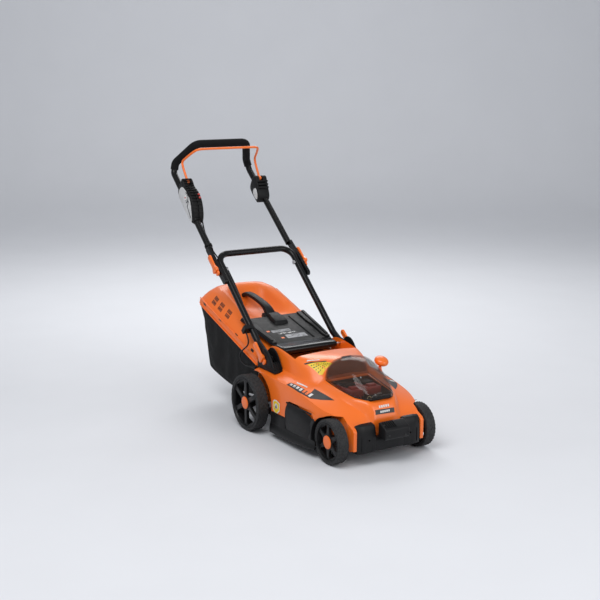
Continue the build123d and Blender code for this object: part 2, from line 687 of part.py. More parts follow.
def pivot_box():
    return control_box(PIVOT_OUTLINE, 136, 188) + rod_y(BAIL_PIVOT, 150, 170, 4)


def bail_bar():
    half = [(BAIL_PIVOT[0], BAIL_Y, BAIL_PIVOT[1]), (-1096, 163, 898), (-1013, 138, 953)]
    route = half + [(x, -y, z) for x, y, z in reversed(half)]
    bail = sweep_round(route, [10, 14, 14, 10], BAIL_RADIUS)
    for side in (-1, 1):
        bail += rod_y(BAIL_PIVOT, side * BAIL_Y - 5, side * BAIL_Y + 5, 9)
    return bail - rod_y(BAIL_PIVOT, -200, 200, 4 + CLEARANCE)


# ---- control cable: box to the upper clip, past the mid pivot, clamp, then a free loop into the deck ----
CABLE_UPPER = [(-972, -146, 752), (-962, -147, 700), (-940, -147, 640), (-892, -144, 584), (-838, -138, 548),
               (-783, -134.5, 522)]
CABLE_LOWER = [(-747, -142.5, 511), (-692, -143, 462), (-642, -144, 411), (-606, -149, 359),
               (-580, -171, 336),
               (-556, -187, 336), (-541, -187, 326)]
CABLE_LOOP = [(-540.4, -187, 325.6), (-522, -188, 308), (-528, -188, 284), (-562, -187, 264),
              (-592, -187, 242),
              (-588, -187, 218), (-556, -187, 207), (-516, -187, 209), (-484, -187, 213)]


def cable_keepout():
    path = [(x, -y, z) for x, y, z in CABLE_UPPER]
    return sweep_round(path, arc_radii(path), CABLE_RADIUS + 0.1)


def cable_gland():
    return rod_x(-483.7, -470.2, -187, 213, 6.4) - rod_x(-490, -470, -187, 213, CABLE_RADIUS + 0.3)


def cable_clamp():
    middle = (-553.0, -174.0, 338.0)
    body = Pos(*middle) * Rot(0, 41, 0) * Box(16, 38, 30)
    along = Plane(origin=(-504, -LOWER_Y, 297), z_dir=(-311, 0, 275))
    body -= extrude(along * Circle(TUBE_RADIUS + 0.1), amount=200)
    return body - sweep_round(CABLE_LOWER, arc_radii(CABLE_LOWER), CABLE_RADIUS + 0.1)


def cable_clips():
    clips = []
    along = Plane(origin=(UPPER_HALF[0][0], -UPPER_Y, UPPER_HALF[0][2]), z_dir=(-310, 2, 266))
    for distance in (20, 150):
        ring = Pos(0, 0, distance) * (Cylinder(TUBE_RADIUS + 3, 9) - Cylinder(TUBE_RADIUS + 0.1, 9))
        clips.append(along * ring)
    keepout = sweep_round(CABLE_UPPER, arc_radii(CABLE_UPPER), CABLE_RADIUS + 0.1)
    return group(*[clip - keepout for clip in clips])


# ---- build and write every piece ----
def save(name, solid):
    placed = Pos(FRONT_AXLE_X, 0, 0) * solid
    export_step(placed, f"parts/{name}.step")
    return placed.bounding_box()


def main():
    os.makedirs("parts", exist_ok=True)
    pieces = {
        "deck_shell": deck_shell(),
        "top_cover": top_cover(),
        "front_bumper": front_bumper(),
        "nose_box": nose_box(),
        "side_skirt_left": side_skirt(1),
        "side_skirt_right": side_skirt(-1),
        "battery_tray": battery_tray(),
        "motor_can": motor_can(),
        "motor_mount": motor_mount(),
        "controller_box": controller_box(),
        "wiring_loom": wiring_loom(),
        "axle_clamps": axle_clamps(),
        "height_quadrant": height_quadrant(),
        "handle_bracket_left": handle_bracket(1),
        "handle_bracket_right": handle_bracket(-1),
        "flap_hinge_rod": flap_hinge_rod(),
        "cable_gland": cable_gland(),
        "control_cable_loop": cable_solid("loop", CABLE_LOOP),
        "front_axle": front_axle(),
        "rear_axle": rear_axle(),
        "height_lever": height_lever(),
        "tie_rod": tie_rod(),
        "motor_spindle": motor_spindle(),
        "blade_adapter": blade_adapter(),
        "blade": blade(),
        "blade_bolt": blade_bolt(),
        "battery_lid": battery_lid(),
        "battery_pack_left": battery_pack(1),
        "battery_pack_right": battery_pack(-1),
        "rear_flap": rear_flap(),
        "discharge_cover": discharge_cover(),
        "catcher_lid": catcher_lid(),
        "catcher_bag": catcher_bag(),
        "catcher_frame": catcher_frame(),
        "catcher_handle": catcher_handle(),
        "lower_handle_tube": lower_handle_tube(),
        "control_cable_lower": cable_solid("lower", CABLE_LOWER),
        "cable_clamp": cable_clamp(),
        "upper_pivot_bolts": upper_pivot_bolts(),
        "upper_handle_tube": upper_handle_tube(),
        "foam_grip": foam_grip(),
        "switch_box_inner": switch_box_inner(),
        "switch_box_outer": switch_box_outer(),
        "pivot_box": pivot_box(),
        "control_cable_upper": cable_solid("upper", CABLE_UPPER),
        "cable_clips": cable_clips(),
        "bail_bar": bail_bar(),
        "safety_button": safety_button(),
    }
    corners = {
        "front_left": ((0, FRONT_RADIUS), FRONT_RADIUS, FRONT_WHEEL_Y, 1, 13),
        "front_right": ((0, FRONT_RADIUS), FRONT_RADIUS, FRONT_WHEEL_Y, -1, 13),
        "rear_left": ((REAR_AXLE_X, REAR_RADIUS), REAR_RADIUS, REAR_WHEEL_Y, 1, 15),
        "rear_right": ((REAR_AXLE_X, REAR_RADIUS), REAR_RADIUS, REAR_WHEEL_Y, -1, 15),
    }
    for corner, spec in corners.items():
        pieces[f"{corner}_tyre"], pieces[f"{corner}_rim"] = wheel_parts(*spec)
    for name, side in (("left", 1), ("right", -1)):
        pieces[f"lower_cam_{name}"] = cam_lever(LOWER_PIVOT, 187.9, 40.5, side)
        pieces[f"upper_cam_{name}"] = cam_lever(UPPER_PIVOT, 194.8, 40.5, side)

    low, high = [1e9] * 3, [-1e9] * 3
    for name, solid in pieces.items():
        bounds = save(name, solid)
        low = [min(a, b) for a, b in zip(low, tuple(bounds.min))]
        high = [max(a, b) for a, b in zip(high, tuple(bounds.max))]
    print(len(pieces), "nodes, box", [round(v, 1) for v in low], [round(v, 1) for v in high])


main()
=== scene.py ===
"""Looks of a small cordless lawn mower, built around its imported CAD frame.

Places are given in millimetres from the front axle, +X forward, +Y to the mower's left, z = 0 on the ground,
and turned into the frame's metres by at().
"""
import json
import math
import random

import bmesh
import bpy
from mathutils import Matrix, Vector
from mathutils.bvhtree import BVHTree


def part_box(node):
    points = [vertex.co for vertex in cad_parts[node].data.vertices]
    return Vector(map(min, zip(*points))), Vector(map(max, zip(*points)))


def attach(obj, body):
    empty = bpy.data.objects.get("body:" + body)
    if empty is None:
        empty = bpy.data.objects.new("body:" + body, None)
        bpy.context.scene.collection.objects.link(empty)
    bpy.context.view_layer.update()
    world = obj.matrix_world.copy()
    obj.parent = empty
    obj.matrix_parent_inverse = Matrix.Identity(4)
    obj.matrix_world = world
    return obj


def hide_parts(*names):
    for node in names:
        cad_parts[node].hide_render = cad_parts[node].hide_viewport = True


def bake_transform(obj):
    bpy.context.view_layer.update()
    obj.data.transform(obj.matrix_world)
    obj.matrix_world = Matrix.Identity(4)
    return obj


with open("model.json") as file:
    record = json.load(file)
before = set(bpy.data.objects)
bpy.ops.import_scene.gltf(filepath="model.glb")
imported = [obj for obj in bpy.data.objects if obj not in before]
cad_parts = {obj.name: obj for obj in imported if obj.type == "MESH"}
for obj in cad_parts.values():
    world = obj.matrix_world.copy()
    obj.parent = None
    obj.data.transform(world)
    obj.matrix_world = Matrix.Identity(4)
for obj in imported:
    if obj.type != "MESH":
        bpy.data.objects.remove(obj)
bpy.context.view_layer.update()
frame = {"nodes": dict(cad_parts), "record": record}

MM = 0.001
TAU = 2 * math.pi
NODES = frame["nodes"]


def middle(node):
    """Middle of a CAD node's box, in metres."""
    low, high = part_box(node)
    return (low + high) / 2


AXLE_X = middle("front_left_tyre").x
REAR_AXLE_X = (middle("rear_left_tyre").x - AXLE_X) / MM
FRONT_RADIUS = 75
REAR_RADIUS = 100
LEFT, RIGHT = 1, -1
SIDES = ((RIGHT, "right"), (LEFT, "left"))


def at(x, y, z):
    """A place given in millimetres from the front axle, in the frame's metres."""
    return Vector((AXLE_X + x * MM, y * MM, z * MM))


def span(a, b, side=LEFT):
    """The (low, high) pair between two distances from the mid-plane, on one side of it."""
    return tuple(sorted((side * a, side * b)))


# ---------- camera ----------
def make_camera():
    """Three-quarter view from the mower's right front, slightly above the grip's height."""
    data = bpy.data.cameras.new("camera")
    data.lens = 66.84
    data.sensor_width = 36.0
    camera = bpy.data.objects.new("camera", data)
    camera.location = at(2870, -2062, 1243)
    camera.rotation_euler = (math.radians(90 - 11.552), 0, math.radians(58.371))
    bpy.context.scene.collection.objects.link(camera)
    bpy.context.scene.camera = camera


make_camera()


# ---------- materials ----------
class Shader:
    """A Principled material whose colour, roughness and relief come from noise in the object's own space."""

    def __init__(self, name, color, rough=0.5, **sockets):
        self.mat = bpy.data.materials.new(name)
        self.mat.use_nodes = True
        self.tree = self.mat.node_tree
        self.bsdf = self.tree.nodes["Principled BSDF"]
        self.bsdf.inputs["Base Color"].default_value = (*color, 1)
        self.bsdf.inputs["Roughness"].default_value = rough
        for socket, value in sockets.items():
            self.bsdf.inputs[socket.replace("_", " ")].default_value = value
        self.color = color
        self.rough = rough
        self.coords = self.tree.nodes.new("ShaderNodeTexCoord")
        self.relief = None

    def node(self, kind, **props):
        made = self.tree.nodes.new("ShaderNode" + kind)
        for key, value in props.items():
            setattr(made, key, value)
        return made

    def link(self, a, b):
        self.tree.links.new(a, b)

    def noise(self, scale, detail=3.0, stretch=None):
        tex = self.node("TexNoise")
        tex.inputs["Scale"].default_value = scale
        tex.inputs["Detail"].default_value = detail
        source = self.coords.outputs["Object"]
        if stretch:
            mapping = self.node("Mapping")
            mapping.inputs["Scale"].default_value = stretch
            self.link(source, mapping.inputs["Vector"])
            source = mapping.outputs["Vector"]
        self.link(source, tex.inputs["Vector"])
        return tex.outputs["Fac"]

    def ramp(self, source, low, high):
        """Spreads a 0-1 factor between two values."""
        spread = self.node("MapRange")
        spread.inputs["From Min"].default_value = 0.3
        spread.inputs["From Max"].default_value = 0.7
        spread.inputs["To Min"].default_value = low
        spread.inputs["To Max"].default_value = high
        self.link(source, spread.inputs["Value"])
        return spread.outputs["Result"]

    def mottle(self, scale, amount, other=None):
        """Slow colour variation between the base and a darker or given colour."""
        mix = self.node("Mix", data_type="RGBA")
        dark = other or tuple(c * (1 - amount) for c in self.color)
        mix.inputs["A"].default_value = (*self.color, 1)
        mix.inputs["B"].default_value = (*dark, 1)
        self.link(self.ramp(self.noise(scale), 0, 1), mix.inputs["Factor"])
        self.link(mix.outputs["Result"], self.bsdf.inputs["Base Color"])
        return self

    def uneven(self, scale, amount):
        value = self.ramp(self.noise(scale, 5), self.rough - amount, self.rough + amount)
        self.link(value, self.bsdf.inputs["Roughness"])
        return self

    def bump(self, height, distance, strength=0.5):
        made = self.node("Bump")
        made.inputs["Strength"].default_value = strength
        made.inputs["Distance"].default_value = distance
        self.link(height, made.inputs["Height"])
        if self.relief:
            self.link(self.relief, made.inputs["Normal"])
        self.relief = made.outputs["Normal"]
        self.link(self.relief, self.bsdf.inputs["Normal"])
        return self

    def grain(self, scale, distance, strength=0.5, stretch=None):
        return self.bump(self.noise(scale, 4, stretch), distance, strength)


def orange(name, rough, coat):
    shader = Shader(name, (0.88, 0.17, 0.012), rough, Coat_Weight=coat, Coat_Roughness=0.12)
    return shader.mottle(5, 0.06, (0.84, 0.150, 0.011)).uneven(40, 0.03).grain(1400, 0.0001, 0.06).mat


def black_plastic(name, level, rough, scale=1500, relief=0.00025):
    shader = Shader(name, (level, level, level * 1.08), rough, Specular_IOR_Level=0.22)
    return shader.mottle(25, 0.3).uneven(80, 0.05).grain(scale, relief, 0.3).mat


def metal(name, level, rough, metallic=1.0):
    shader = Shader(name, (level, level, level * 1.02), rough, Metallic=metallic)
    return shader.mottle(120, 0.15).uneven(300, 0.08).grain(700, 0.0001, 0.3, (1, 12, 1)).mat


def tyre_rubber():
    shader = Shader("tyre_rubber", (0.013, 0.013, 0.014), 0.7, Specular_IOR_Level=0.3)
    shader.mottle(180, 0.2, (0.035, 0.035, 0.036)).uneven(200, 0.1)
    return shader.grain(1300, 0.0004, 0.5).mat


def foam():
    shader = Shader("foam", (0.007, 0.007, 0.008), 0.9, Specular_IOR_Level=0.2)
    shader.mottle(60, 0.3)
    cells = shader.node("TexVoronoi")
    cells.inputs["Scale"].default_value = 1400
    shader.link(shader.coords.outputs["Object"], cells.inputs["Vector"])
    return shader.bump(cells.outputs["Distance"], 0.0004, 0.6).mat


def smoke_clear():
    shader = Shader("smoke_clear", (0.050, 0.032, 0.024), 0.05, Alpha=0.30)
    shader.uneven(25, 0.02).grain(14, 0.0004, 0.10)
    return shader.mat


def woven(name, color, scale=700):
    """Plain weave: two crossed sets of threads."""
    shader = Shader(name, color, 0.8, Specular_IOR_Level=0.25)
    shader.mottle(35, 0.35)
    heights = []
    for direction in ("X", "Z"):
        wave = shader.node("TexWave", bands_direction=direction)
        wave.inputs["Scale"].default_value = scale / 3
        wave.inputs["Distortion"].default_value = 0.6
        shader.link(shader.coords.outputs["Object"], wave.inputs["Vector"])
        heights.append(wave.outputs["Fac"])
    both = shader.node("Math", operation="MULTIPLY")
    shader.link(heights[0], both.inputs[0])
    shader.link(heights[1], both.inputs[1])
    return shader.bump(both.outputs["Value"], 0.0006, 0.7).grain(60, 0.003, 0.25).mat


def label(name, color, other, scale):
    """Printed film with a faint mottled pattern that spells nothing."""
    shader = Shader(name, color, 0.4, Coat_Weight=0.1)
    return shader.mottle(scale, 0.2, other).uneven(50, 0.04).grain(500, 0.0001, 0.1).mat


MATS = {
    "orange": orange("orange_gloss", 0.32, 0.22),
    "orange_satin": orange("orange_satin", 0.42, 0.12),
    "deck_black": black_plastic("deck_black", 0.009, 0.42),
    "trim_black": black_plastic("trim_black", 0.007, 0.5, 1100, 0.0002),
    "gloss_black": black_plastic("gloss_black", 0.007, 0.16, 1100, 0.0001),
    "soft_black": black_plastic("soft_black", 0.007, 0.55),
    "rim_black": black_plastic("rim_black", 0.009, 0.34, 900, 0.0001),
    "tube_black": black_plastic("tube_black", 0.007, 0.27, 2500, 0.00003),
    "tyre": tyre_rubber(),
    "foam": foam(),
    "smoke": smoke_clear(),
    "fabric": woven("bag_fabric", (0.007, 0.007, 0.0075)),
    "steel": metal("zinc_steel", 0.55, 0.32),
    "rivet": metal("rivet_steel", 0.62, 0.25),
    "blade": metal("blade_steel", 0.07, 0.4, 0.8),
    "motor": metal("motor_can", 0.28, 0.45),
    "pack_red": label("pack_red", (0.42, 0.03, 0.018), (0.28, 0.018, 0.012), 60),
    "wire": label("wire", (0.80, 0.70, 0.40), (0.62, 0.50, 0.25), 90),
    "wire_red": label("wire_red", (0.5, 0.02, 0.015), (0.3, 0.01, 0.01), 90),
    "wire_white": label("wire_white", (0.6, 0.6, 0.6), (0.4, 0.42, 0.45), 90),
    "cable": black_plastic("cable_sheath", 0.008, 0.42, 600, 0.0001),
    "yellow": label("label_yellow", (0.86, 0.62, 0.02), (0.75, 0.50, 0.02), 200),
    "white": label("label_white", (0.75, 0.75, 0.73), (0.6, 0.6, 0.6), 150),
    "grey": label("label_grey", (0.26, 0.27, 0.29), (0.12, 0.12, 0.13), 300),
    "decal": label("decal_black", (0.003, 0.003, 0.004), (0.006, 0.006, 0.007), 80),
    "pale": label("pale_panel", (0.62, 0.62, 0.62), (0.5, 0.5, 0.5), 60),
    "red": label("button_red", (0.55, 0.02, 0.015), (0.4, 0.015, 0.01), 90),
}

SLOT_FINISH = {
    "cover_orange": "orange", "deck_black": "deck_black", "trim_black": "trim_black", "tyre_black": "tyre",
    "rim_black": "rim_black", "axle_steel": "steel", "blade_steel": "blade", "smoke_clear": "smoke",
    "battery_shell": "pack_red", "wire": "wire", "electronics": "soft_black", "motor": "motor",
    "bag_fabric": "fabric", "catcher_orange": "orange_satin", "tube_black": "tube_black", "foam": "foam",
    "control_black": "trim_black", "bail_orange": "orange_satin", "lever_orange": "orange",
    "button_red": "red", "cable_black": "cable",
}


def paint_cad():
    """Gives every CAD node that stays its finished material."""
    for row in frame["record"]["subparts"]:
        node = NODES[row["node"]]
        node.data.materials.clear()
        node.data.materials.append(MATS[SLOT_FINISH[row["material_slot"]]])


paint_cad()


# ---------- mesh helpers ----------
def shade(mesh, angle=32):
    """Smooth shading, with edges above the angle kept sharp."""
    mesh.shade_smooth()
    mesh.set_sharp_from_angle(angle=math.radians(angle))


def add_object(name, data):
    obj = bpy.data.objects.new(name, data)
    bpy.context.scene.collection.objects.link(obj)
    return obj


def new_object(name, verts, faces):
    mesh = bpy.data.meshes.new(name)
    mesh.from_pydata([tuple(v) for v in verts], [], faces)
    mesh.validate()
    bm = bmesh.new()
    bm.from_mesh(mesh)
    bmesh.ops.recalc_face_normals(bm, faces=bm.faces)
    bm.to_mesh(mesh)
    bm.free()
    return add_object(name, mesh)


def settle(obj):
    """Applies the object's modifiers to its mesh."""
    graph = bpy.context.evaluated_depsgraph_get()
    graph.update()
    final = bpy.data.meshes.new_from_object(obj.evaluated_get(graph))
    obj.modifiers.clear()
    obj.data = final
    return obj


def bevel(obj, width, segments=2, angle=35):
    mod = obj.modifiers.new("bevel", "BEVEL")
    mod.width = width * MM
    mod.segments = segments
    mod.limit_method = "ANGLE"
    mod.angle_limit = math.radians(angle)
    mod.use_clamp_overlap = True
    return settle(obj)


def subdivide(obj, levels=2):
    mod = obj.modifiers.new("subdivide", "SUBSURF")
    mod.levels = levels
    mod.render_levels = levels
    return settle(obj)


def cut(obj, *tools):
    for tool in tools:
        mod = obj.modifiers.new("cut", "BOOLEAN")
        mod.operation = "DIFFERENCE"
        mod.solver = "EXACT"
        mod.object = tool
        settle(obj)
        bpy.data.objects.remove(tool)
    return obj


def join(name, objects):
    """One object from several: their meshes share one list of materials."""
    bm = bmesh.new()
    mats = []
    for obj in objects:
        start = len(bm.faces)
        slots = list(obj.data.materials) or [None]
        bm.from_mesh(obj.data)
        bm.faces.ensure_lookup_table()
        for face in bm.faces[start:]:
            used = slots[min(face.material_index, len(slots) - 1)]
            if used not in mats:
                mats.append(used)
            face.material_index = mats.index(used)
        bpy.data.objects.remove(obj)
    mesh = bpy.data.meshes.new(name)
    bm.to_mesh(mesh)
    bm.free()
    for mat in mats:
        mesh.materials.append(mat)
    return add_object(name, mesh)


def paint(obj, finish):
    obj.data.materials.clear()
    obj.data.materials.append(MATS[finish])
    return obj


def paint_all(objects, finish):
    for obj in objects:
        paint(obj, finish)


def stand(obj, origin, turn=Matrix()):
    """Turns a piece that was drawn about the front axle's ground point, and moves it to its own origin."""
    obj.data.transform(Matrix.Translation(at(*origin)) @ turn @ Matrix.Translation(-at(0, 0, 0)))
    return obj


def flip_side(obj):
    """Mirrors the object across the mid-plane."""
    obj.data.transform(Matrix.Diagonal((1, -1, 1, 1)))
    obj.data.flip_normals()
    return obj


def place(obj, body, slot, *nodes, angle=32):
    """Last step of every piece: shading, its body, and the CAD nodes it stands for; the slot argument is not
    used.
    """
    shade(obj.data, angle)
    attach(obj, body)
    if nodes:
        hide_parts(*nodes)
    return obj


def block(name, x, y, z, rounding=1.0, segments=2):
    """A box from (low, high) pairs in millimetres, with rounded edges."""
    verts = [at(x[i], y[j], z[k]) for i in (0, 1) for j in (0, 1) for k in (0, 1)]
    faces = [(0, 1, 3, 2), (4, 6, 7, 5), (0, 4, 5, 1), (2, 3, 7, 6), (0, 2, 6, 4), (1, 5, 7, 3)]
    obj = new_object(name, verts, faces)
    return bevel(obj, rounding, segments) if rounding else obj


def prism(name, outline, span, axis="Y", rounding=0.0, segments=2):
    """A flat plate: its outline in the plane across the axis, and its span along it, in millimetres."""
    def point(u, v, w):
        return {"Y": at(u, w, v), "X": at(w, u, v), "Z": at(u, v, w)}[axis]

    count = len(outline)
    verts = [point(u, v, w) for w in span for u, v in outline]
    faces = [tuple(range(count)), tuple(range(2 * count - 1, count - 1, -1))]
    faces += [(i, (i + 1) % count, count + (i + 1) % count, count + i) for i in range(count)]
    obj = new_object(name, verts, faces)
    return bevel(obj, rounding, segments) if rounding else obj


def lathe(name, hub, profile, steps=72, axis="Y", start=0.0, sweep=TAU, ripple=None):
    """Turns a profile of (along, radius) about an axis through hub; ripple(i, j) may add to the radius."""
    closed = abs(sweep - TAU) < 1e-6
    turns = steps if closed else steps + 1
    verts = []
    for i in range(turns):
        angle = start + sweep * i / steps
        for j, (along, radius) in enumerate(profile):
            r = radius + (ripple(i, j) if ripple else 0.0)
            u, v = r * math.cos(angle), r * math.sin(angle)
            spot = {"Y": (u, along, v), "X": (along, u, v), "Z": (u, v, along)}[axis]
            verts.append(at(hub[0] + spot[0], hub[1] + spot[1], hub[2] + spot[2]))
    n = len(profile)
    faces = []
    for i in range(steps):
        k = (i + 1) % turns
        faces += [(i * n + j, k * n + j, k * n + j + 1, i * n + j + 1) for j in range(n - 1)]
    return new_object(name, verts, faces)


def weld(obj):
    """Closes a lathe piece: merges the points that meet at its ends."""
    bm = bmesh.new()
    bm.from_mesh(obj.data)
    bmesh.ops.remove_doubles(bm, verts=bm.verts, dist=0.01 * MM)
    bmesh.ops.recalc_face_normals(bm, faces=bm.faces)
    bm.to_mesh(obj.data)
    bm.free()
    return obj


def loft(name, rings):
    """A closed body through rings that have the same number of points, given in millimetres."""
    n = len(rings[0])
    verts = [at(*p) for ring in rings for p in ring]
    faces = []
    for i in range(0, len(verts) - n, n):
        faces += [(i + j, i + (j + 1) % n, i + n + (j + 1) % n, i + n + j) for j in range(n)]
    faces += [tuple(range(n)), tuple(range(len(verts) - 1, len(verts) - n - 1, -1))]
    return new_object(name, verts, faces)


def spline(name, points, bevel_radius=0.0):
    """A smooth curve, as a mesh, that uses the points as its NURBS control points."""
    data = bpy.data.curves.new(name, "CURVE")
    data.dimensions = "3D"
    data.bevel_depth = bevel_radius * MM
    data.bevel_resolution = 4
    data.use_fill_caps = bevel_radius > 0
    line = data.splines.new("NURBS")
    line.points.add(len(points) - 1)
    for spot, p in zip(line.points, points):
        spot.co = (*at(*p), 1)
    line.order_u = 3
    line.use_endpoint_u = True
    line.resolution_u = 10
    curve = add_object(name, data)
    graph = bpy.context.evaluated_depsgraph_get()
    mesh = bpy.data.meshes.new_from_object(curve.evaluated_get(graph))
    bpy.data.objects.remove(curve)
    return add_object(name, mesh)


# ---------- control cable ----------
CABLE_DIAMETER = 0.0055
CABLE_UPPER = [(-972, -146, 752), (-962, -147, 700), (-940, -147, 640), (-892, -144, 584), (-838, -138, 548),
               (-783, -134.5, 522)]
CABLE_LOWER = [(-747, -142.5, 511), (-692, -143, 462), (-642, -144, 411), (-606, -149, 359),
               (-580, -171, 336), (-556, -187, 336), (-541, -187, 326)]
CABLE_LOOP = [(-540.4, -187, 325.6), (-522, -188, 308), (-528, -188, 284), (-562, -187, 264),
              (-592, -187, 242), (-588, -187, 218), (-556, -187, 207), (-516, -187, 209), (-484, -187, 213)]


def make_cables():
    """The switch cable: clipped along both handle sections, then a free loop from the clamp into the deck."""
    held = spline("control_cable_clipped", CABLE_LOWER[::-1] + CABLE_UPPER[::-1], CABLE_DIAMETER / 2 / MM)
    paint(held, "cable")
    shade(held.data)
    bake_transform(held)
    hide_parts("control_cable_lower", "control_cable_upper")

    loose = spline("control_cable_line", CABLE_LOOP)
    bpy.data.objects.remove(loose)
    loop = spline("control_cable_hanging", CABLE_LOOP, CABLE_DIAMETER / 2 / MM)
    paint(loop, "cable")
    shade(loop.data)
    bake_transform(loop)
    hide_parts("control_cable_loop")
    sleeve = lathe("strain_relief", (0, 0, 0), [(0, 3.0), (0, 6.4), (10, 6.2), (13, 5.4)] +
                   [(15 + 5 * k, 5.6 - 0.5 * k if k % 2 else 4.9 - 0.5 * k)
                    for k in range(5)] + [(38, 3.1), (38, 2.8)],
                   28, axis="X")
    stand(sleeve, (-470.2, -187, 213), Matrix.Diagonal((-1, 1, 1, 1)))
    paint(weld(sleeve), "soft_black")
    place(sleeve, "deck", "trim_black", "cable_gland")


make_cables()


# ---------- wheels ----------
def tread(i, j):
    """Rows of small lugs on the middle of the tyre's outline."""
    if j < 4 or j > 15:
        return 0.0
    return 0.0 if (i // 2 + j // 2) % 2 else -1.8


TREAD_COUNT = 12
CAP_RADIUS = 22
SPOKES = 6


def make_wheel(corner, s):
    """Tyre with treads, and a spoked rim with a hub cap on its outer side."""
    low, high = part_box(f"{corner}_tyre")
    centre = (low + high) / 2
    hub = ((centre.x - AXLE_X) / MM, centre.y / MM, centre.z / MM)
    radius = (high.z - low.z) / 2 / MM
    half = (high.y - low.y) / 2 / MM
    rim = radius - 12
    body = f"{corner}_wheel"

    outline = [(-half + 2, rim), (-half, rim + 2), (-half, radius - 5), (-half + 1.2, radius - 2)]
    outline += [(-half + 2 + (2 * half - 4) * k / (TREAD_COUNT - 1), radius) for k in range(TREAD_COUNT)]
    outline += [(half - 1.2, radius - 2), (half, radius - 5), (half, rim + 2), (half - 2, rim),
                (-half + 2, rim)]
    tyre = paint(weld(lathe(f"{corner}_tyre_tread", hub, outline, 144, ripple=tread)), "tyre")
    place(tyre, body, "tyre_black", f"{corner}_tyre", angle=40)

    out = half * s
    ring = lathe("ring", hub, [(out * 0.92, rim + 0.3), (out * 0.99, rim - 0.5), (out * 0.99, rim - 3),
                               (out * 0.9, rim - 5), (out * 0.2, rim - 8), (-out * 0.85, rim - 7),
                               (-out * 0.92, rim - 3), (-out * 0.92, rim + 0.2), (out * 0.92, rim + 0.3)], 96)
    weld(ring)
    face_out, face_in = out - 5 * s, out - 16 * s
    disc = lathe("disc", hub, [(face_in, CAP_RADIUS - 8), (face_out, CAP_RADIUS - 8), (face_out, rim - 4),
                               (face_in + 2 * s, rim - 4), (face_in, CAP_RADIUS - 8)], 96)
    weld(disc)
    windows = []
    for k in range(SPOKES):
        mid_angle = TAU * (k + 1) / SPOKES
        inner, outer = CAP_RADIUS + 5, rim - 6
        outline = [(mid_angle + share, r)
                   for share, r in ((0.36, outer), (0.42, outer - 8), (0.26, inner + 3), (0.12, inner))]
        outline += [(2 * mid_angle - a, r) for a, r in reversed(outline)]
        points = [(hub[0] + r * math.cos(a), hub[2] + r * math.sin(a)) for a, r in outline]
        windows.append(prism("window", points, (hub[1] + min(face_in, face_out) - 5,
                                                hub[1] + max(face_in, face_out) + 5)))
    cut(disc, *windows)
    bevel(disc, 1.1, 2, 40)
    barrel = lathe("barrel", hub, [(out - 3 * s, CAP_RADIUS + 1), (out - 4 * s, CAP_RADIUS + 3),
                                   (face_in, CAP_RADIUS + 3.5), (-out * 0.9, 17), (-out * 0.95, 15),
                                   (-out * 0.95, 6), (out - 3 * s, 6), (out - 3 * s, CAP_RADIUS + 1)], 64)
    weld(barrel)
    paint_all((ring, disc, barrel), "rim_black")
    cap = lathe("cap", hub, [(out - 3.2 * s, CAP_RADIUS), (out - 1.2 * s, CAP_RADIUS),
                             (out - 0.4 * s, CAP_RADIUS - 1.2), (out - 0.2 * s, CAP_RADIUS * 0.6),
                             (out * 1.0, 0.01)], 64)
    weld(cap)
    paint(cap, "orange")
    place(join(f"{corner}_spoked_rim", [ring, disc, barrel, cap]), body, "rim_black", f"{corner}_rim",
          angle=35)


for wheel_end in ("front", "rear"):
    for wheel_side, side_name in SIDES[::-1]:
        make_wheel(f"{wheel_end}_{side_name}", wheel_side)


# ---------- surface helpers ----------
def half_ring(x, half):
    """A closed section at x from half of it, listed from its lower edge to the middle."""
    return [(x, y, z) for y, z in half] + [(x, -y, z) for y, z in reversed(half) if y > 0]


def moulded(name, stations, lines=None, rings=None, levels=2):
    """A closed smooth body through half-sections; lines and rings give creases by point and by station."""
    sections = [half_ring(x, half) for x, half in stations]
    obj = loft(name, sections)
    n = len(sections[0])
    weights = {}
    for j, weight in (lines or {}).items():
        weights[j] = weight
        weights[n - 1 - j] = weight
    bm = bmesh.new()
    bm.from_mesh(obj.data)
    layer = bm.edges.layers.float.new("crease_edge")
    last = len(sections) - 1
    for edge in bm.edges:
        (ra, ja), (rb, jb) = (divmod(v.index, n) for v in edge.verts)
        if ra == rb:
            edge[layer] = (rings or {}).get(ra, 1.0 if ra in (0, last) else 0.0)
        elif ja == jb:
            edge[layer] = weights.get(ja, 0.0)
    bm.to_mesh(obj.data)
    bm.free()
    return subdivide(obj, levels) if levels else obj


def shrink(stations, inset, drop=0.0):
    """The same stations moved inwards, with the lower edge dropped."""
    result = []
    for x, half in stations:
        moved = [(max(y - inset, 0.0), z - inset) for y, z in half]
        moved[0] = (moved[0][0], moved[0][1] - drop)
        result.append((x, moved))
    return result


def surface_of(obj):
    """A search tree of the object's mesh."""
    bm = bmesh.new()
    bm.from_mesh(obj.data)
    tree = BVHTree.FromBMesh(bm)
    bm.free()
    return tree


VIEWS = {
    "top": (lambda u, v: (u, v, 330), (0, 0, -1)),
    "right": (lambda u, v: (u, -260, v), (0, 1, 0)),
    "left": (lambda u, v: (u, 260, v), (0, -1, 0)),
    "front": (lambda u, v: (200, u, v), (-1, 0, 0)),
}


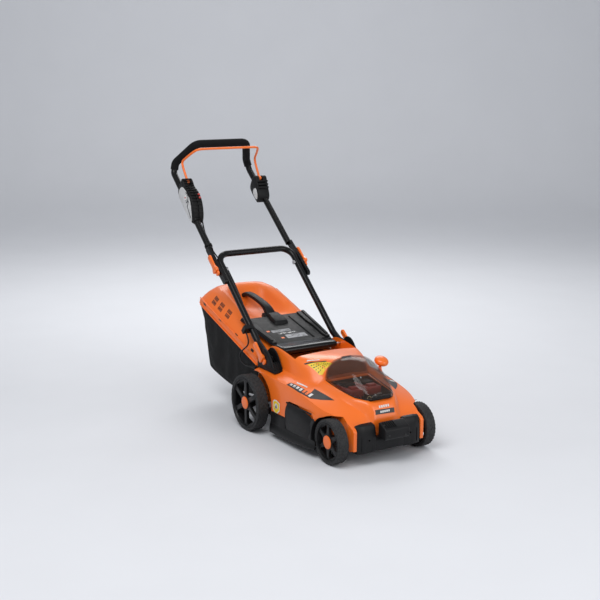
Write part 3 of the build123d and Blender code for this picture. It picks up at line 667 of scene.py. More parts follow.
def film(tree, view, shape, finish, lift=0.4, cell=7.0):
    """A thin printed label: a flat shape, cut into small cells and laid on a surface as seen in a view."""
    corner, direction = VIEWS[view]
    bm = bmesh.new()
    verts = [bm.verts.new(at(*corner(u, v))) for u, v in shape]
    bm.faces.new(verts)
    for axis in range(3):
        values = [v.co[axis] for v in bm.verts]
        low, high = min(values), max(values)
        steps = int((high - low) / (cell * MM))
        for k in range(1, steps + 1):
            spot = [0.0, 0.0, 0.0]
            spot[axis] = low + k * cell * MM
            normal = [0.0, 0.0, 0.0]
            normal[axis] = 1.0
            geometry = bm.verts[:] + bm.edges[:] + bm.faces[:]
            bmesh.ops.bisect_plane(bm, geom=geometry, plane_co=spot, plane_no=normal)
    way = Vector(direction).normalized()
    for vert in bm.verts:
        hit, normal, _, _ = tree.ray_cast(vert.co - way * 0.3, way)
        if hit is not None:
            out = normal if normal.dot(way) < 0 else -normal
            vert.co = hit + out * lift * MM
    bmesh.ops.triangulate(bm, faces=bm.faces)
    mesh = bpy.data.meshes.new("film")
    bm.to_mesh(mesh)
    bm.free()
    return paint(add_object("film", mesh), finish)


def screws(spots, radius, direction, finish):
    """Domed screw heads at the spots, facing along direction."""
    profile = [(-1.0, radius), (0.6, radius), (1.3, radius * 0.75), (1.5, radius * 0.45),
               (0.7, radius * 0.35), (0.6, 0.01)]
    turn = Vector((0, 0, 1)).rotation_difference(Vector(direction)).to_matrix().to_4x4()
    return [paint(stand(lathe("head", (0, 0, 0), profile, 24, axis="Z"), spot, turn), finish)
            for spot in spots]


# ---------- top cover ----------
COVER = [
    (-470, [(196, 84), (197, 150), (195, 211), (150, 221), (141, 228),
            (137, 274), (127, 285), (60, 285), (0, 285)]),
    (-458, [(197, 82), (197, 150), (195, 212), (150, 221), (141, 228),
            (136, 284), (126, 296), (60, 296), (0, 296)]),
    (-432, [(198, 80), (197, 150), (195, 212), (150, 221), (141, 228),
            (135, 291), (125, 303), (60, 303), (0, 303)]),
    (-395, [(199, 78), (198, 149), (194, 211), (150, 221), (141, 228),
            (135, 291), (125, 301), (60, 301), (0, 301)]),
    (-340, [(199, 77), (198, 147), (194, 208), (151, 219), (142, 227),
            (136, 281), (125, 291), (60, 293), (0, 293)]),
    (-290, [(200, 76), (198, 146), (193, 206), (150, 219), (143, 226),
            (136, 273), (122, 286), (60, 291), (0, 292)]),
    (-240, [(200, 76), (197, 142), (191, 203), (148, 217), (140, 223),
            (126, 258), (103, 277), (60, 291), (0, 297)]),
    (-200, [(200, 77), (196, 140), (189, 198), (144, 212), (132, 218),
            (106, 245), (84, 271), (50, 290), (0, 298)]),
    (-176, [(200, 78), (196, 138), (187, 194), (140, 208), (124, 213),
            (94, 231), (80, 262), (45, 288), (0, 298)]),
    (-173, [(200, 78), (196, 138), (187, 194), (140, 207), (123, 212),
            (97, 224), (90, 226), (45, 226), (0, 226)]),
    (-100, [(200, 80), (195, 130), (185, 181), (138, 194), (118, 200),
            (97, 211), (88, 213), (45, 213), (0, 213)]),
    (-60, [(199, 62), (194, 120), (183, 171), (130, 188), (108, 194),
           (93, 206), (84, 208), (42, 208), (0, 208)]),
    (-7, [(185, 56), (180, 110), (167, 161), (115, 174), (92, 180),
          (83, 198), (75, 200.5), (40, 200.5), (0, 200.5)]),
    (30, [(157, 53), (154, 104), (148, 150), (95, 157), (72, 161),
          (53, 195), (44, 198), (20, 198), (0, 198)]),
    (49, [(146, 51), (144, 90), (138, 132), (82, 139), (62, 142),
          (46, 162), (40, 168), (20, 168), (0, 168)]),
    (58, [(141, 50), (139, 88), (134, 124), (80, 127), (60, 128),
          (50, 136), (46, 140), (20, 140), (0, 140)]),
]
COVER_LINES = {0: 1.0, 2: 0.75, 4: 0.7, 5: 0.35, 6: 0.55}
COVER_RINGS = {0: 1.0, 8: 0.95, 9: 0.95, 15: 0.9}
SHELL = 3.0
BAY = [(-164, 81), (-14, 76), (25, 40), (25, -40), (-14, -76), (-164, -81)]
WHEEL_POCKET = 82.7
REAR_POCKET = 108
RECESS = [(-492, 340), (-492, 245), (-362, 245), (-340, 247), (-322, 253), (-308, 263), (-298, 276),
          (-292, 292), (-291, 340)]


def disc_tool(x, z, radius, y0, y1, steps=48):
    """A short cylinder across the mower, used to cut."""
    outline = [(x + radius * math.cos(TAU * k / steps), z + radius * math.sin(TAU * k / steps))
               for k in range(steps)]
    return prism("tool", outline, span(y0, y1))


def box_tool(x, y, z):
    """A box to cut with, from pairs in any order."""
    return block("tool", sorted(x), sorted(y), sorted(z), 0)


def wheel_pockets(inner, radius):
    """Tools for the front wheel arches: a round top with straight sides below it, on each side."""
    tools = []
    for s in (-1, 1):
        tools.append(disc_tool(0, FRONT_RADIUS, radius, s * inner, s * 260))
        tools.append(box_tool((-radius, radius), (s * inner, s * 260), (0, FRONT_RADIUS)))
    return tools


def make_cover():
    """Orange top cover: hollow, with the battery bay, the wheel arches and the flap's recess cut out."""
    cover = moulded("cover", COVER, COVER_LINES, COVER_RINGS, 2)
    hollow_stations = shrink([row for row in COVER if row[0] not in (-173, -176)], SHELL, 30)
    hollow_stations[0] = (-467, hollow_stations[0][1])
    hollow_stations[-1] = (55, hollow_stations[-1][1])
    behind = [row for row in hollow_stations if row[0] < -180]
    behind.append((-176 - SHELL, shrink([COVER[8]], SHELL, 30)[0][1]))
    ahead = [(-180, shrink([COVER[9]], SHELL, 30)[0][1])] + [row for row in hollow_stations if row[0] > -120]
    hollow = [moulded("tool", rows, COVER_LINES, {}, 1) for rows in (behind, ahead)]
    for tool in hollow:
        cut(tool, *wheel_pockets(141 - SHELL, WHEEL_POCKET + SHELL))
    cut(hollow[0], prism("tool", [(x, z - SHELL) for x, z in RECESS], (-131 - SHELL, 131 + SHELL)))
    cut(cover, *wheel_pockets(141, WHEEL_POCKET))
    cut(cover, prism("tool", RECESS, (-131, 131)))
    cut(cover, *hollow)
    cut(cover, prism("tool", BAY, (150, 240), "Z"))
    cut(cover, box_tool((-480, -460), (-122, 122), (60, 239)))
    for s in (-1, 1):
        cut(cover, disc_tool(REAR_AXLE_X, REAR_RADIUS, REAR_POCKET, s * 178, s * 220))
        cut(cover, box_tool((-520, -352), (s * 178, s * 220), (0, 100)))
        chute = [(-245, 40), (-245, 141), (-238, 150), (-228, 153), (-105, 153), (-90, 148), (-83, 130),
                 (-83, 40)]
        cut(cover, prism("tool", chute, span(190, 220, s)))
    cheeks = []
    outline = [(20, 52), (75, 53), (76, 118), (70, 126), (58, 132), (40, 140), (20, 148)]
    for s in (-1, 1):
        cheeks.append(prism("cheek", outline, span(127, 140, s), rounding=1.5, segments=3))
    paint_all((cover, *cheeks), "orange")
    return join("top_cover_shell", [cover, *cheeks])


COVER_SHELL = make_cover()
COVER_TREE = surface_of(COVER_SHELL)
place(COVER_SHELL, "deck", "cover_orange", "top_cover", angle=28)


def cover_film(view, shape, finish, lift=0.4, cell=7.0):
    return film(COVER_TREE, view, shape, finish, lift, cell)


def side_badge(s):
    """Striped badge: a dark base with slanted bars, small gaps between them and a flash."""
    def laid(shape, finish, lift=0.4):
        return cover_film("top", [(x, s * y) for x, y in shape], finish, lift)

    parts = [laid([(-259, 189), (-255, 173), (-198, 165), (-150, 161), (-162, 137), (-102, 129), (-61, 124),
                   (-93, 155), (-124, 177), (-187, 186)], "decal")]
    for k in range(7):
        x = -247 + 17.2 * k
        low, top = 183.5 - 1.3 * k, 176 - 2.8 * k
        parts.append(laid([(x, low), (x + 11, low - 0.8), (x + 8, top - 1.8), (x - 3, top)],
                          "orange_satin" if k in (4, 5) else "white", 0.8))
        if k < 6:
            parts.append(laid([(x + 3, low - 2.4), (x + 8, low - 2.8), (x + 6.5, low - 4.4),
                               (x + 1.5, low - 4)],
                              "decal", 1.1))
    parts.append(laid([(-240, 158), (-188, 149), (-184, 153), (-236, 163)], "white", 0.6))
    return parts


def caution_patch():
    """Yellow patch with a dark header, a white flash and four rows of dashes."""
    parts = [cover_film("top", [(-244, -115), (-205, -68), (-177, -55), (-182, -92), (-190, -100)], "yellow"),
             cover_film("top", [(-256, -121), (-204, -62), (-201, -66), (-250, -120)], "decal", 0.6),
             cover_film("top", [(-253, -112), (-226, -77), (-229, -74), (-256, -108)], "white", 0.7)]
    lengths = random.Random(4)
    for row in range(4):
        share = (row + 0.8) / 4.6
        start = Vector((-241 + 51 * share, -111 + 12 * share))
        end = Vector((-205 + 24 * share, -71 + 12 * share))
        for k in range(6):
            t0 = (k + 0.15) / 6
            t1 = t0 + 0.05 + 0.07 * lengths.random()
            (ax, ay), (bx, by) = start.lerp(end, t0), start.lerp(end, t1)
            dash = [(ax, ay), (bx, by), (bx + 2.2, by - 1.2), (ax + 2.2, ay - 1.2)]
            parts.append(cover_film("top", dash, "decal", 0.8))
    return parts


def shield_patch():
    """Yellow shield with a white edge, a disc and a drop."""
    shield = [(-334, 130), (-324, 137), (-311, 138), (-288, 131), (-288, 104), (-311, 86), (-334, 102)]
    x0, z0 = -311, 113
    inner = [(x0 + (x - x0) * 0.84, z0 + (z - z0) * 0.84) for x, z in shield]
    ring = [(x0 + 10 * math.cos(TAU * k / 14), z0 + 3 + 10 * math.sin(TAU * k / 14)) for k in range(14)]
    drop = [(x0 - 5, z0 - 2), (x0, z0 + 11), (x0 + 5, z0 - 2), (x0, z0 - 6)]
    layers = ((shield, "white", 0.4), (inner, "yellow", 0.7), (ring, "white", 1.0), (drop, "decal", 1.3))
    return [cover_film("right", shape, finish, lift) for shape, finish, lift in layers]


def nose_badge():
    """Dark plate across the nose with two rows of slanted bars."""
    parts = [cover_film("front", [(-37, 170), (38, 168), (36, 153.5), (-39, 156)], "decal", 0.5, 5)]
    for pitch, low, high, width, lean in ((8, 159, 165, 5.5, 1.5), (8.6, 173.5, 180.5, 6, 1.0)):
        for k in range(5):
            y = -20 + pitch * k
            bar = [(y, low), (y + width, low), (y + width + lean, high), (y + lean, high)]
            parts.append(cover_film("front", bar, "white", 0.9))
    return parts


def place_marks():
    """Printed marks that carry no words."""
    for s, side in SIDES:
        place(join(f"side_badge_{side}", side_badge(s)), "deck", "trim_black")
    place(join("caution_patch", caution_patch()), "deck", "trim_black")
    place(join("shield_patch", shield_patch()), "deck", "trim_black")
    place(join("nose_badge", nose_badge()), "deck", "trim_black")


place_marks()


# ---------- black trim round the deck ----------
BUMPER_FOOT = 42


def make_bumper():
    """Two padded lobes with a bolt hole and a foot each, a flatter middle, and ribs between."""
    outline = [(58, BUMPER_FOOT), (80, BUMPER_FOOT), (81, 70), (80.5, 104), (77.5, 124), (72, 134), (58, 138)]
    parts = []
    for s in (-1, 1):
        lobe = loft("lobe", [[(x - back if x > 60 else x, s * y, BUMPER_FOOT + (z - BUMPER_FOOT) * share)
                              for x, z in outline]
                             for y, back, share in ((56, 0, 0.96), (62, 0, 1.0), (98, 0, 1.0), (104, 0, 1.0),
                                                    (124, 6, 0.97), (126.4, 9, 0.95))])
        bevel(lobe, 2.4, 3, 25)
        hole = lathe("tool", (82, s * 82, 84), [(-8, 0.01), (-8, 3.4), (6, 3.4), (6, 0.01)], 20, axis="X")
        weld(hole)
        cut(lobe, hole)
        parts.append(lobe)
        parts.append(prism("foot", [(40, 38), (60, 38), (60, 46), (40, 46)], span(60, 120, s), rounding=1.5))
    middle = loft("middle", [[(58, y, 42), (82 - abs(y) * 0.04, y, 44), (83 - abs(y) * 0.04, y, 80),
                              (78 - abs(y) * 0.03, y, 90), (58, y, 90)] for y in (-58, -30, 0, 30, 58)])
    bevel(middle, 2, 3, 25)
    parts.append(middle)
    for k in range(12):
        y = -110 + 20 * k
        if abs(y) < 60:
            continue
        parts.append(block("rib", (76, 81.2), (y - 0.8, y + 0.8), (50, 96), 0.6))
    paint_all(parts, "deck_black")
    place(join("front_bumper_lobes", parts), "deck", "trim_black", "front_bumper")


def make_nose_box():
    """Box on the nose between the bumper lobes, with a ribbed slope, two posts and three screws."""
    outline = [(80.5, 88), (80.5, 139), (87, 141), (116, 127), (122.8, 120), (122.8, 94), (117, 87)]
    body = loft("body", [[(x, y, z) for x, z in outline] for y in (-48, -44, 44, 48)])
    bevel(body, 3, 3, 20)
    parts = [body]
    slope = math.atan2(14, 29)
    for k in range(6):
        y = -38 + 7.5 * k
        rib = block("rib", (-15, 15), (-1.6, 1.6), (-1, 2.6), 0.8)
        parts.append(stand(rib, (101, y, 134.6), Matrix.Rotation(slope, 4, "Y")))
    for y in (-42, 42):
        post = lathe("post", (120.5, y, 106), [(-3, 0.01), (-3, 4.6), (2.6, 4.6), (3.2, 3.8), (3.2, 2.6),
                                               (1.6, 2.4),
                                              (1.6, 0.01)], 24, axis="X")
        parts.append(weld(post))
    paint_all(parts, "deck_black")
    heads = screws([(123.2, -34, 104), (123.2, 30, 98), (104, -42, 133.5)], 3.4, (1, 0, 0.1), "decal")
    place(join("nose_box_ribbed", parts + heads), "deck", "trim_black", "nose_box")


def make_skirt(s, name):
    """Black foot panel with a sloped ledge, on one side."""
    rings = []
    for x, top, out, z_out, z_low, reach in ((-346, 60, 203, 50, 20, 205), (-338, 60, 205, 44, 18, 211),
                                             (-300, 58, 207, 42, 18, 212), (-180, 54, 207, 40, 21, 212),
                                             (-100, 50, 205, 42, 27, 209), (-62, 46, 200, 44, 30, 203)):
        rings.append([(x, s * 196.4, z_low + 6), (x, s * 196.4, top + 14), (x, s * 199.8, top + 14),
                      (x, s * 200.2, top), (x, s * out, z_out), (x, s * reach, z_out - 10),
                      (x, s * reach, z_low + 2), (x, s * (reach - 4), z_low)])
    ledge = bevel(loft("ledge", rings), 1.5, 3, 30)
    panel = loft("panel", [[(x, s * 196.3, 34), (x, s * 196.3, 92), (x, s * (200.6 - lean), 92),
                            (x, s * (203 - lean), 84), (x, s * (204 - lean), 34)]
                           for x, lean in ((-346, 2.5), (-340, 0), (-252, 0), (-246, 2))])
    bevel(panel, 1.5, 3, 30)
    parts = [ledge, panel]
    if s > 0:
        wall = loft("wall", [[(x, s * 196.3, 54), (x, s * 196.3, 151), (x, s * (200.0 - lean), 151),
                              (x, s * (201.2 - lean), 146), (x, s * (201.2 - lean), 54)]
                             for x, lean in ((-244, 0), (-235, 0), (-90, 0), (-86, 1.5))])
        bevel(wall, 1.2, 2, 30)
        cut(ledge, box_tool((-300, -80), (201.7, 230), (34, 160)))
        parts.append(wall)
        for part in parts:
            cut(part, disc_tool(-235, 68.8, 7.5, 190, 215))
    for part in parts:
        paint(part, "rim_black" if part is ledge else "deck_black")
    place(join(f"side_skirt_{name}_moulded", parts), "deck", "deck_black", f"side_skirt_{name}")


def make_chute():
    """Rounded side discharge cover, which hinges at its top edge."""
    rings = []
    for x, inward, drop in ((-243, 7, 13), (-240, 4, 7), (-232, 1, 2), (-215, 0, 0), (-175, 0, 1),
                            (-145, 1, 4), (-118, 3, 9), (-100, 6, 14), (-87, 9, 20)):
        outer = [(198, 151 - drop), (202, 150 - drop), (207.5, 143 - drop), (211, 130 - drop), (212.2, 104),
                 (210.6, 78), (206.5, 57)]
        inner = [(203.7, 57), (207.8, 78), (209.4, 104), (208.2, 128 - drop), (205, 139 - drop),
                 (201.5, 145 - drop), (198, 146 - drop)]
        ring = []
        for y, z in outer + inner:
            share = inward * (1 if y > 200 else 0.3)
            ring.append((x, -(y - share), z))
        rings.append(ring)
    shell = bevel(loft("shell", rings), 0.9, 2, 40)
    subdivide(shell, 1)
    barrel = weld(lathe("barrel", (0, -199, 147.5), [(-241, 0.01), (-241, 2.9), (-87, 2.9), (-87, 0.01)], 24,
                        axis="X"))
    paint_all((shell, barrel), "deck_black")
    place(join("discharge_cover_moulded", [shell, barrel]), "discharge_cover", "deck_black",
          "discharge_cover")


def arch_band(x, z, outer, inner, first, last, steps):
    """Outline of a band between two ellipses round (x, z), given by their radii, from first to last degree."""
    angles = [math.radians(first + (last - first) * k / steps) for k in range(steps + 1)]
    band = [(x + outer[0] * math.cos(a), z + outer[1] * math.sin(a)) for a in angles]
    return band + [(x + inner[0] * math.cos(a), z + inner[1] * math.sin(a)) for a in reversed(angles)]


def make_linings():
    """Black inner linings at the back of the front wheel arches and round the rear ones."""
    front, rear = (0, FRONT_RADIUS, WHEEL_POCKET, 118, 205), (REAR_AXLE_X, REAR_RADIUS, REAR_POCKET, 2, 104)
    parts = []
    for arch, sides in ((front, span(142, 199)), (front, span(142, 199, RIGHT)), (rear, span(188.5, 197)),
                        (rear, span(178.5, 197, RIGHT))):
        x, z, radius, first, last = arch
        band = arch_band(x, z, 2 * (radius - 0.1,), 2 * (radius - 0.5,), first, last, 20)
        parts.append(paint(prism("lining", band, sides), "soft_black"))
    lip = arch_band(0, FRONT_RADIUS, (81.8, 81.8), (97, 94), 140, 190, 14)
    parts.append(paint(prism("lip", lip, (-202, -197), rounding=1.2), "deck_black"))
    place(join("wheel_arch_linings", parts), "deck", "deck_black")


make_linings()
make_bumper()
make_nose_box()
for skirt_side, skirt_name in SIDES:
    make_skirt(skirt_side, skirt_name)
make_chute()


# ---------- battery bay ----------
LID = [
    (-173, [(88, 227.5), (86, 248), (80, 268), (66, 286), (42, 296), (18, 299), (0, 299.5)]),
    (-150, [(87.5, 223), (86, 246), (80, 270), (66, 290), (42, 302), (18, 306), (0, 307)]),
    (-126, [(87, 219.3), (85.5, 244), (79, 270), (64, 292), (41, 305), (18, 309.5), (0, 310)]),
    (-90, [(85, 213.5), (83.5, 240), (76, 265), (61, 286), (40, 298), (18, 303), (0, 304)]),
    (-50, [(82, 208.5), (80, 232), (72, 255), (57, 273), (38, 283), (18, 287), (0, 288)]),
    (-12, [(76, 203.5), (73, 219), (66, 234), (52, 246), (36, 252), (18, 254.5), (0, 255)]),
    (12, [(60, 201), (58, 210), (53, 220), (44, 228), (31, 233), (16, 235.5), (0, 236)]),
    (30, [(44, 199), (42.5, 204), (39, 209), (33, 213.5), (25, 216), (13, 217.5), (0, 218)]),
]


def make_lid():
    """Smoked clear lid over the packs, with its seal, front lip and hinge barrel."""
    outer = moulded("outer", LID, {0: 1.0, 2: 0.15}, {0: 1.0, 7: 0.9}, 2)
    inner_rows = shrink(LID, 2.4, 12)
    inner_rows[0] = (-170.6, inner_rows[0][1])
    inner_rows[-1] = (27.6, inner_rows[-1][1])
    inner = moulded("inner", inner_rows, {0: 1.0, 2: 0.15}, {0: 1.0, 7: 0.9}, 2)
    cut(outer, inner)
    paint(outer, "smoke")
    rim_route = [(-171.5, 87.2, 226), (-150, 86.8, 222), (-100, 84.5, 214), (-50, 81.2, 208),
                 (-14, 75.4, 203), (10, 60, 200.6), (29, 42, 199), (30, 20, 199), (30, 0, 199)]
    route = rim_route + [(x, -y, z) for x, y, z in reversed(rim_route[:-1])]
    seal = paint(spline("seal", route, 1.4), "soft_black")
    lip = bevel(loft("lip", [[(22, y, 199.6), (33.5, y, 199.4), (33.5, y, 203.5), (27, y, 209), (22, y, 209)]
                             for y in (-36, -18, 0, 18, 36)]), 1, 2)
    paint(lip, "soft_black")
    barrel = weld(lathe("barrel", (0, 0, 0), [(-18, 0.01), (-18, 4.2), (18, 4.2), (18, 0.01)], 32))
    paint(stand(barrel, (-177, 0, 294)), "soft_black")
    place(join("battery_lid_clear", [outer, seal, lip, barrel]), "battery_lid", "smoke_clear", "battery_lid",
          angle=50)


def make_pack(s, name):
    """Slide-in pack: a black case with a red upper band, ribs and a release tab."""
    y0, y1 = span(5, 66, s)
    case = block("case", (-150, -58), (y0, y1), (143, 186), 5, 3)
    band = block("band", (-149, -59), (y0 + 1, y1 - 1), (184, 212), 6, 3)
    parts = [paint(case, "soft_black"), paint(band, "pack_red")]
    for k in range(5):
        x = -140 + 18 * k
        parts.append(paint(block("rib", (x, x + 7), (y0 - 0.6, y1 + 0.6), (150, 180), 1.5), "soft_black"))
    parts.append(paint(block("tab", (-138, -96), (y0 + 10, y1 - 10), (211, 221.5), 3, 3), "soft_black"))
    parts.append(paint(block("tab", (-90, -70), (y0 + 14, y1 - 14), (211, 219), 3, 3), "pack_red"))
    place(join(f"battery_pack_{name}_cased", parts), f"battery_{name}", "battery_shell",
          f"battery_pack_{name}")


def make_wires():
    """Loose coloured strands between the sockets in front of the packs, with a board and a fuse."""
    strands = []
    rng = random.Random(11)
    starts = [(-44, -52), (-44, -46), (-44, -40), (-44, -34), (-44, -10), (-44, 14), (-44, 20), (-44, 26)]
    finishes = ["wire", "wire_red", "wire", "wire_white", "wire", "wire_red", "wire", "wire_white"]
    for (x, y), finish in zip(starts, finishes):
        height = 178 + 26 * rng.random()
        swing = rng.uniform(-9, 9)
        route = [(x, y, 150), (x + 3, y + swing * 0.4, height - 10), (x + 14, y + swing, height),
                 (x + 28, y + swing * 1.4, height - 8), (x + 42, y + swing * 0.8, 178),
                 (x + 46, y + swing * 0.5, 150)]
        strands.append(paint(spline("strand", route, 1.5), finish))
    sockets = [block("socket", (-46.5, -33), (-60, 40), (143, 152), 1.5),
               block("socket", (-5, 12), (-52, 38), (143, 152), 1.5),
               block("board", (-30, -8), (-58, 44), (143, 146), 0.6)]
    paint_all(sockets, "soft_black")
    fuse = paint(block("fuse", (-26, -12), (-44, -16), (146, 160), 1.5), "wire")
    place(join("wiring_loom_strands", strands + sockets + [fuse]), "deck", "wire", "wiring_loom")


make_lid()
for pack_side, pack_name in SIDES[::-1]:
    make_pack(pack_side, pack_name)
make_wires()


# ---------- pieces drawn in a local frame ----------
def carry(obj, origin, x_dir, z_dir):
    """Moves a piece drawn about the axle's ground point to a frame with the given origin and axes."""
    x = Vector(x_dir).normalized()
    z = Vector(z_dir).normalized()
    y = z.cross(x)
    return stand(obj, origin, Matrix((x, y, z)).transposed().to_4x4())


def rounded(outline, times=2):
    """The closed outline with its corners cut to curves."""
    for _ in range(times):
        softer = []
        for (x0, y0), (x1, y1) in zip(outline, outline[1:] + outline[:1]):
            softer += [(0.75 * x0 + 0.25 * x1, 0.75 * y0 + 0.25 * y1),
                       (0.25 * x0 + 0.75 * x1, 0.25 * y0 + 0.75 * y1)]
        outline = softer
    return outline


def scaled(outline, share):
    """The outline shrunk about its middle."""
    cx = sum(x for x, _ in outline) / len(outline)
    cy = sum(y for _, y in outline) / len(outline)
    return [(cx + (x - cx) * share, cy + (y - cy) * share) for x, y in outline]


# ---------- rear flap ----------
HINGE = (-412, 0, 278)
SLOPE = math.radians(14)
FLAP_ALONG = (-math.cos(SLOPE), 0, math.sin(SLOPE))
FLAP_UP = (math.sin(SLOPE), 0, math.cos(SLOPE))
FLAP_LENGTH = 271


def make_flap():
    """Deflector flap: a plate with raised rims, a nose roll over the hinge and a stepped rear bridge."""
    black = []
    plate = prism("plate", [(2, -111), (65, -125), (FLAP_LENGTH, -139), (FLAP_LENGTH, 139), (65, 125),
                            (2, 111)],
                  (-2, 1.6), "Z", 1.2)
    black.append(plate)
    for s in (-1, 1):
        outer = [(56, s * 122), (160, s * 130), (FLAP_LENGTH, s * 138.5), (FLAP_LENGTH, s * 104),
                 (200, s * 100), (150, s * 104), (80, s * 100), (56, s * 104)]
        black.append(prism("rim", outer, (0, 7), "Z", 2.6, 3))
        inner = [(70, s * 121), (170, s * 129), (FLAP_LENGTH - 1, s * 136), (FLAP_LENGTH - 1, s * 124),
                 (170, s * 117), (70, s * 110)]
        black.append(prism("step", inner, (5, 11), "Z", 2.4, 3))
    rings = []
    for y, r in ((-113.5, 8.5), (-110, 11.2), (-96, 12.8), (-40, 13), (40, 13), (96, 12.8), (110, 11.2),
                 (113.5, 8.5)):
        ring = [(-r * math.cos(math.radians(d)), y, r * math.sin(math.radians(d)))
                for d in range(265, 449, 14)]
        ring += [(12, y, r * 0.93), (26, y, r * 0.62), (44, y, 3.2), (58, y, 1.4), (58, y, -1.8), (22, y, -2)]
        rings.append(ring)
    nose = subdivide(loft("nose", rings), 1)
    black.append(nose)
    bridge = loft("bridge", [[(u, -half, 1), (u, -half + 5, top), (u, half - 5, top), (u, half, 1)]
                             for u, half, top in ((196, 26, 3), (206, 30, 12), (240, 30, 15), (252, 26, 15),
                                                  (FLAP_LENGTH, 24, 15))])
    black.append(bevel(bridge, 2, 3, 25))
    channel = loft("rib", [[(u, -66, 1), (u, -62, 5), (u, -58, 5), (u, -54, 1)] for u in (70, 250)])
    black.append(bevel(channel, 1, 2, 25))
    for part in black:
        paint(part, "gloss_black" if part is nose else "trim_black")
    labels = []
    rng = random.Random(21)
    for u0, u1, v0, v1, finish in ((138, 156, -4, 74, "grey"), (84, 112, -44, 40, "grey"),
                                   (118, 132, -18, 60, "decal")):
        labels.append(paint(prism("label", [(u0, v0), (u1, v0), (u1, v1), (u0, v1)], (1.3, 2.1), "Z", 0.2, 1),
                            finish))
        for _ in range(16):
            u = rng.uniform(u0 + 2, u1 - 5)
            v = rng.uniform(v0 + 3, v1 - 12)
            wide = rng.uniform(4, 10)
            bar = prism("bar", [(u, v), (u + 1.6, v), (u + 1.6, v + wide), (u, v + wide)], (2.0, 2.5), "Z")
            labels.append(paint(bar, "white" if finish == "decal" else "decal"))
    for u, v in ((88, 52), (148, 80)):
        spot = prism("spot", [(u, v), (u + 9, v), (u + 9, v + 12), (u, v + 12)], (1.4, 2.4), "Z", 0.3, 1)
        labels.append(paint(spot, "orange_satin"))
    flap = join("rear_flap_moulded", black + labels)
    carry(flap, HINGE, FLAP_ALONG, FLAP_UP)
    place(flap, "rear_flap", "trim_black", "rear_flap")


make_flap()


# ---------- grass catcher ----------
CATCHER_LID = [
    (-488, [(172, 214), (172, 239), (166, 251), (152, 262), (126, 272), (84, 276), (40, 277), (0, 277)]),
    (-600, [(172, 250), (172, 277), (161, 291), (143, 301), (122, 309), (86, 309), (42, 310), (0, 310)]),
    (-672, [(172, 272), (172, 300), (158, 318), (138, 333), (118, 342), (90, 335), (44, 329), (0, 329)]),
    (-700, [(172, 281), (172, 309), (157, 329), (136, 347), (116, 357), (92, 347), (54, 331), (0, 328)]),
    (-740, [(172, 295), (172, 322), (156, 344), (133, 365), (113, 377), (92, 364), (66, 331), (0, 325)]),
    (-800, [(172, 314), (172, 341), (155, 364), (131, 386), (110, 399), (90, 386), (70, 338), (0, 330)]),
    (-850, [(172, 331), (172, 358), (154, 380), (130, 400), (107, 412), (86, 402), (66, 352), (0, 345)]),
    (-885, [(172, 342), (171, 369), (153, 389), (129, 408), (104, 419), (80, 413), (56, 388), (0, 380)]),
    (-912, [(172, 351), (171, 377), (151, 395), (128, 412), (100, 424), (74, 426), (40, 423), (0, 422)]),
    (-938, [(171, 359), (169, 374), (148, 395), (126, 412), (96, 426), (74, 430), (40, 433), (0, 434)]),
    (-958, [(166, 366), (163, 377), (142, 393), (122, 405), (90, 417), (70, 420), (38, 422), (0, 423)]),
]
CATCHER_LINES = {0: 1.0, 1: 0.8, 3: 0.5, 4: 0.55, 5: 0.3}


def make_catcher_lid():
    """Moulded lid, hollow below, with flat dark films painted as the shade in its vent slots, and two rails
    along each lower edge.
    """
    outer = moulded("lid", CATCHER_LID, CATCHER_LINES, {0: 1.0, 10: 0.6}, 2)
    moves = [(-SHELL, -12)] + 3 * [(-SHELL, -SHELL)] + [(0, -1.6 * SHELL)] + 2 * [(SHELL, -1.3 * SHELL)]
    moves.append((0, -1.3 * SHELL))
    rows = [(x, [(y + dy, z + dz) for (y, z), (dy, dz) in zip(half, moves)]) for x, half in CATCHER_LID]
    rows[0] = (-482, rows[0][1])
    rows[-1] = (-955, rows[-1][1])
    cut(outer, moulded("inner", rows, CATCHER_LINES, {0: 1.0, 10: 0.6}, 2))
    skin = surface_of(outer)
    # The vent slots are not cut: each is a flat dark film, painted shade where an opening would be.
    slots = []
    for s, side in SIDES:
        for cx, cz in ((-856, 386), (-806, 371), (-750, 354)):
            for row in (-0.5, 0.5):
                for k in range(4):
                    x = cx + 7.2 * (k - 1.5) - 3 * row
                    z = cz - 2.4 * (k - 1.5) + 13 * row
                    shape = [(x - 1.4, z - 4.6), (x + 3.2, z - 6.0), (x + 1.4, z + 4.2), (x - 3.2, z + 5.6)]
                    slots.append(film(skin, side, shape, "decal"))
        for x, z in ((-900, 367), (-774, 331), (-649, 294), (-534, 261)):
            shape = [(x - 11, z + 8), (x + 8, z + 2), (x + 11, z - 7), (x - 8, z - 1)]
            slots.append(film(skin, side, shape, "decal"))
    rails = []
    for s in (-1, 1):
        for lift, out in ((3, 174.0), (29, 172.6)):
            route = [(x, s * (out - (2 if x < -930 else 0)), 214 + (-487 - x) * 0.3225 + lift)
                     for x in (-490, -560, -640, -720, -800, -880, -936)]
            rails.append(spline("rail", route, 2.4))
    paint_all((outer, *rails), "orange_satin")
    place(join("catcher_lid_moulded", [outer, *rails, *slots]), "grass_catcher", "catcher_orange",
          "catcher_lid")


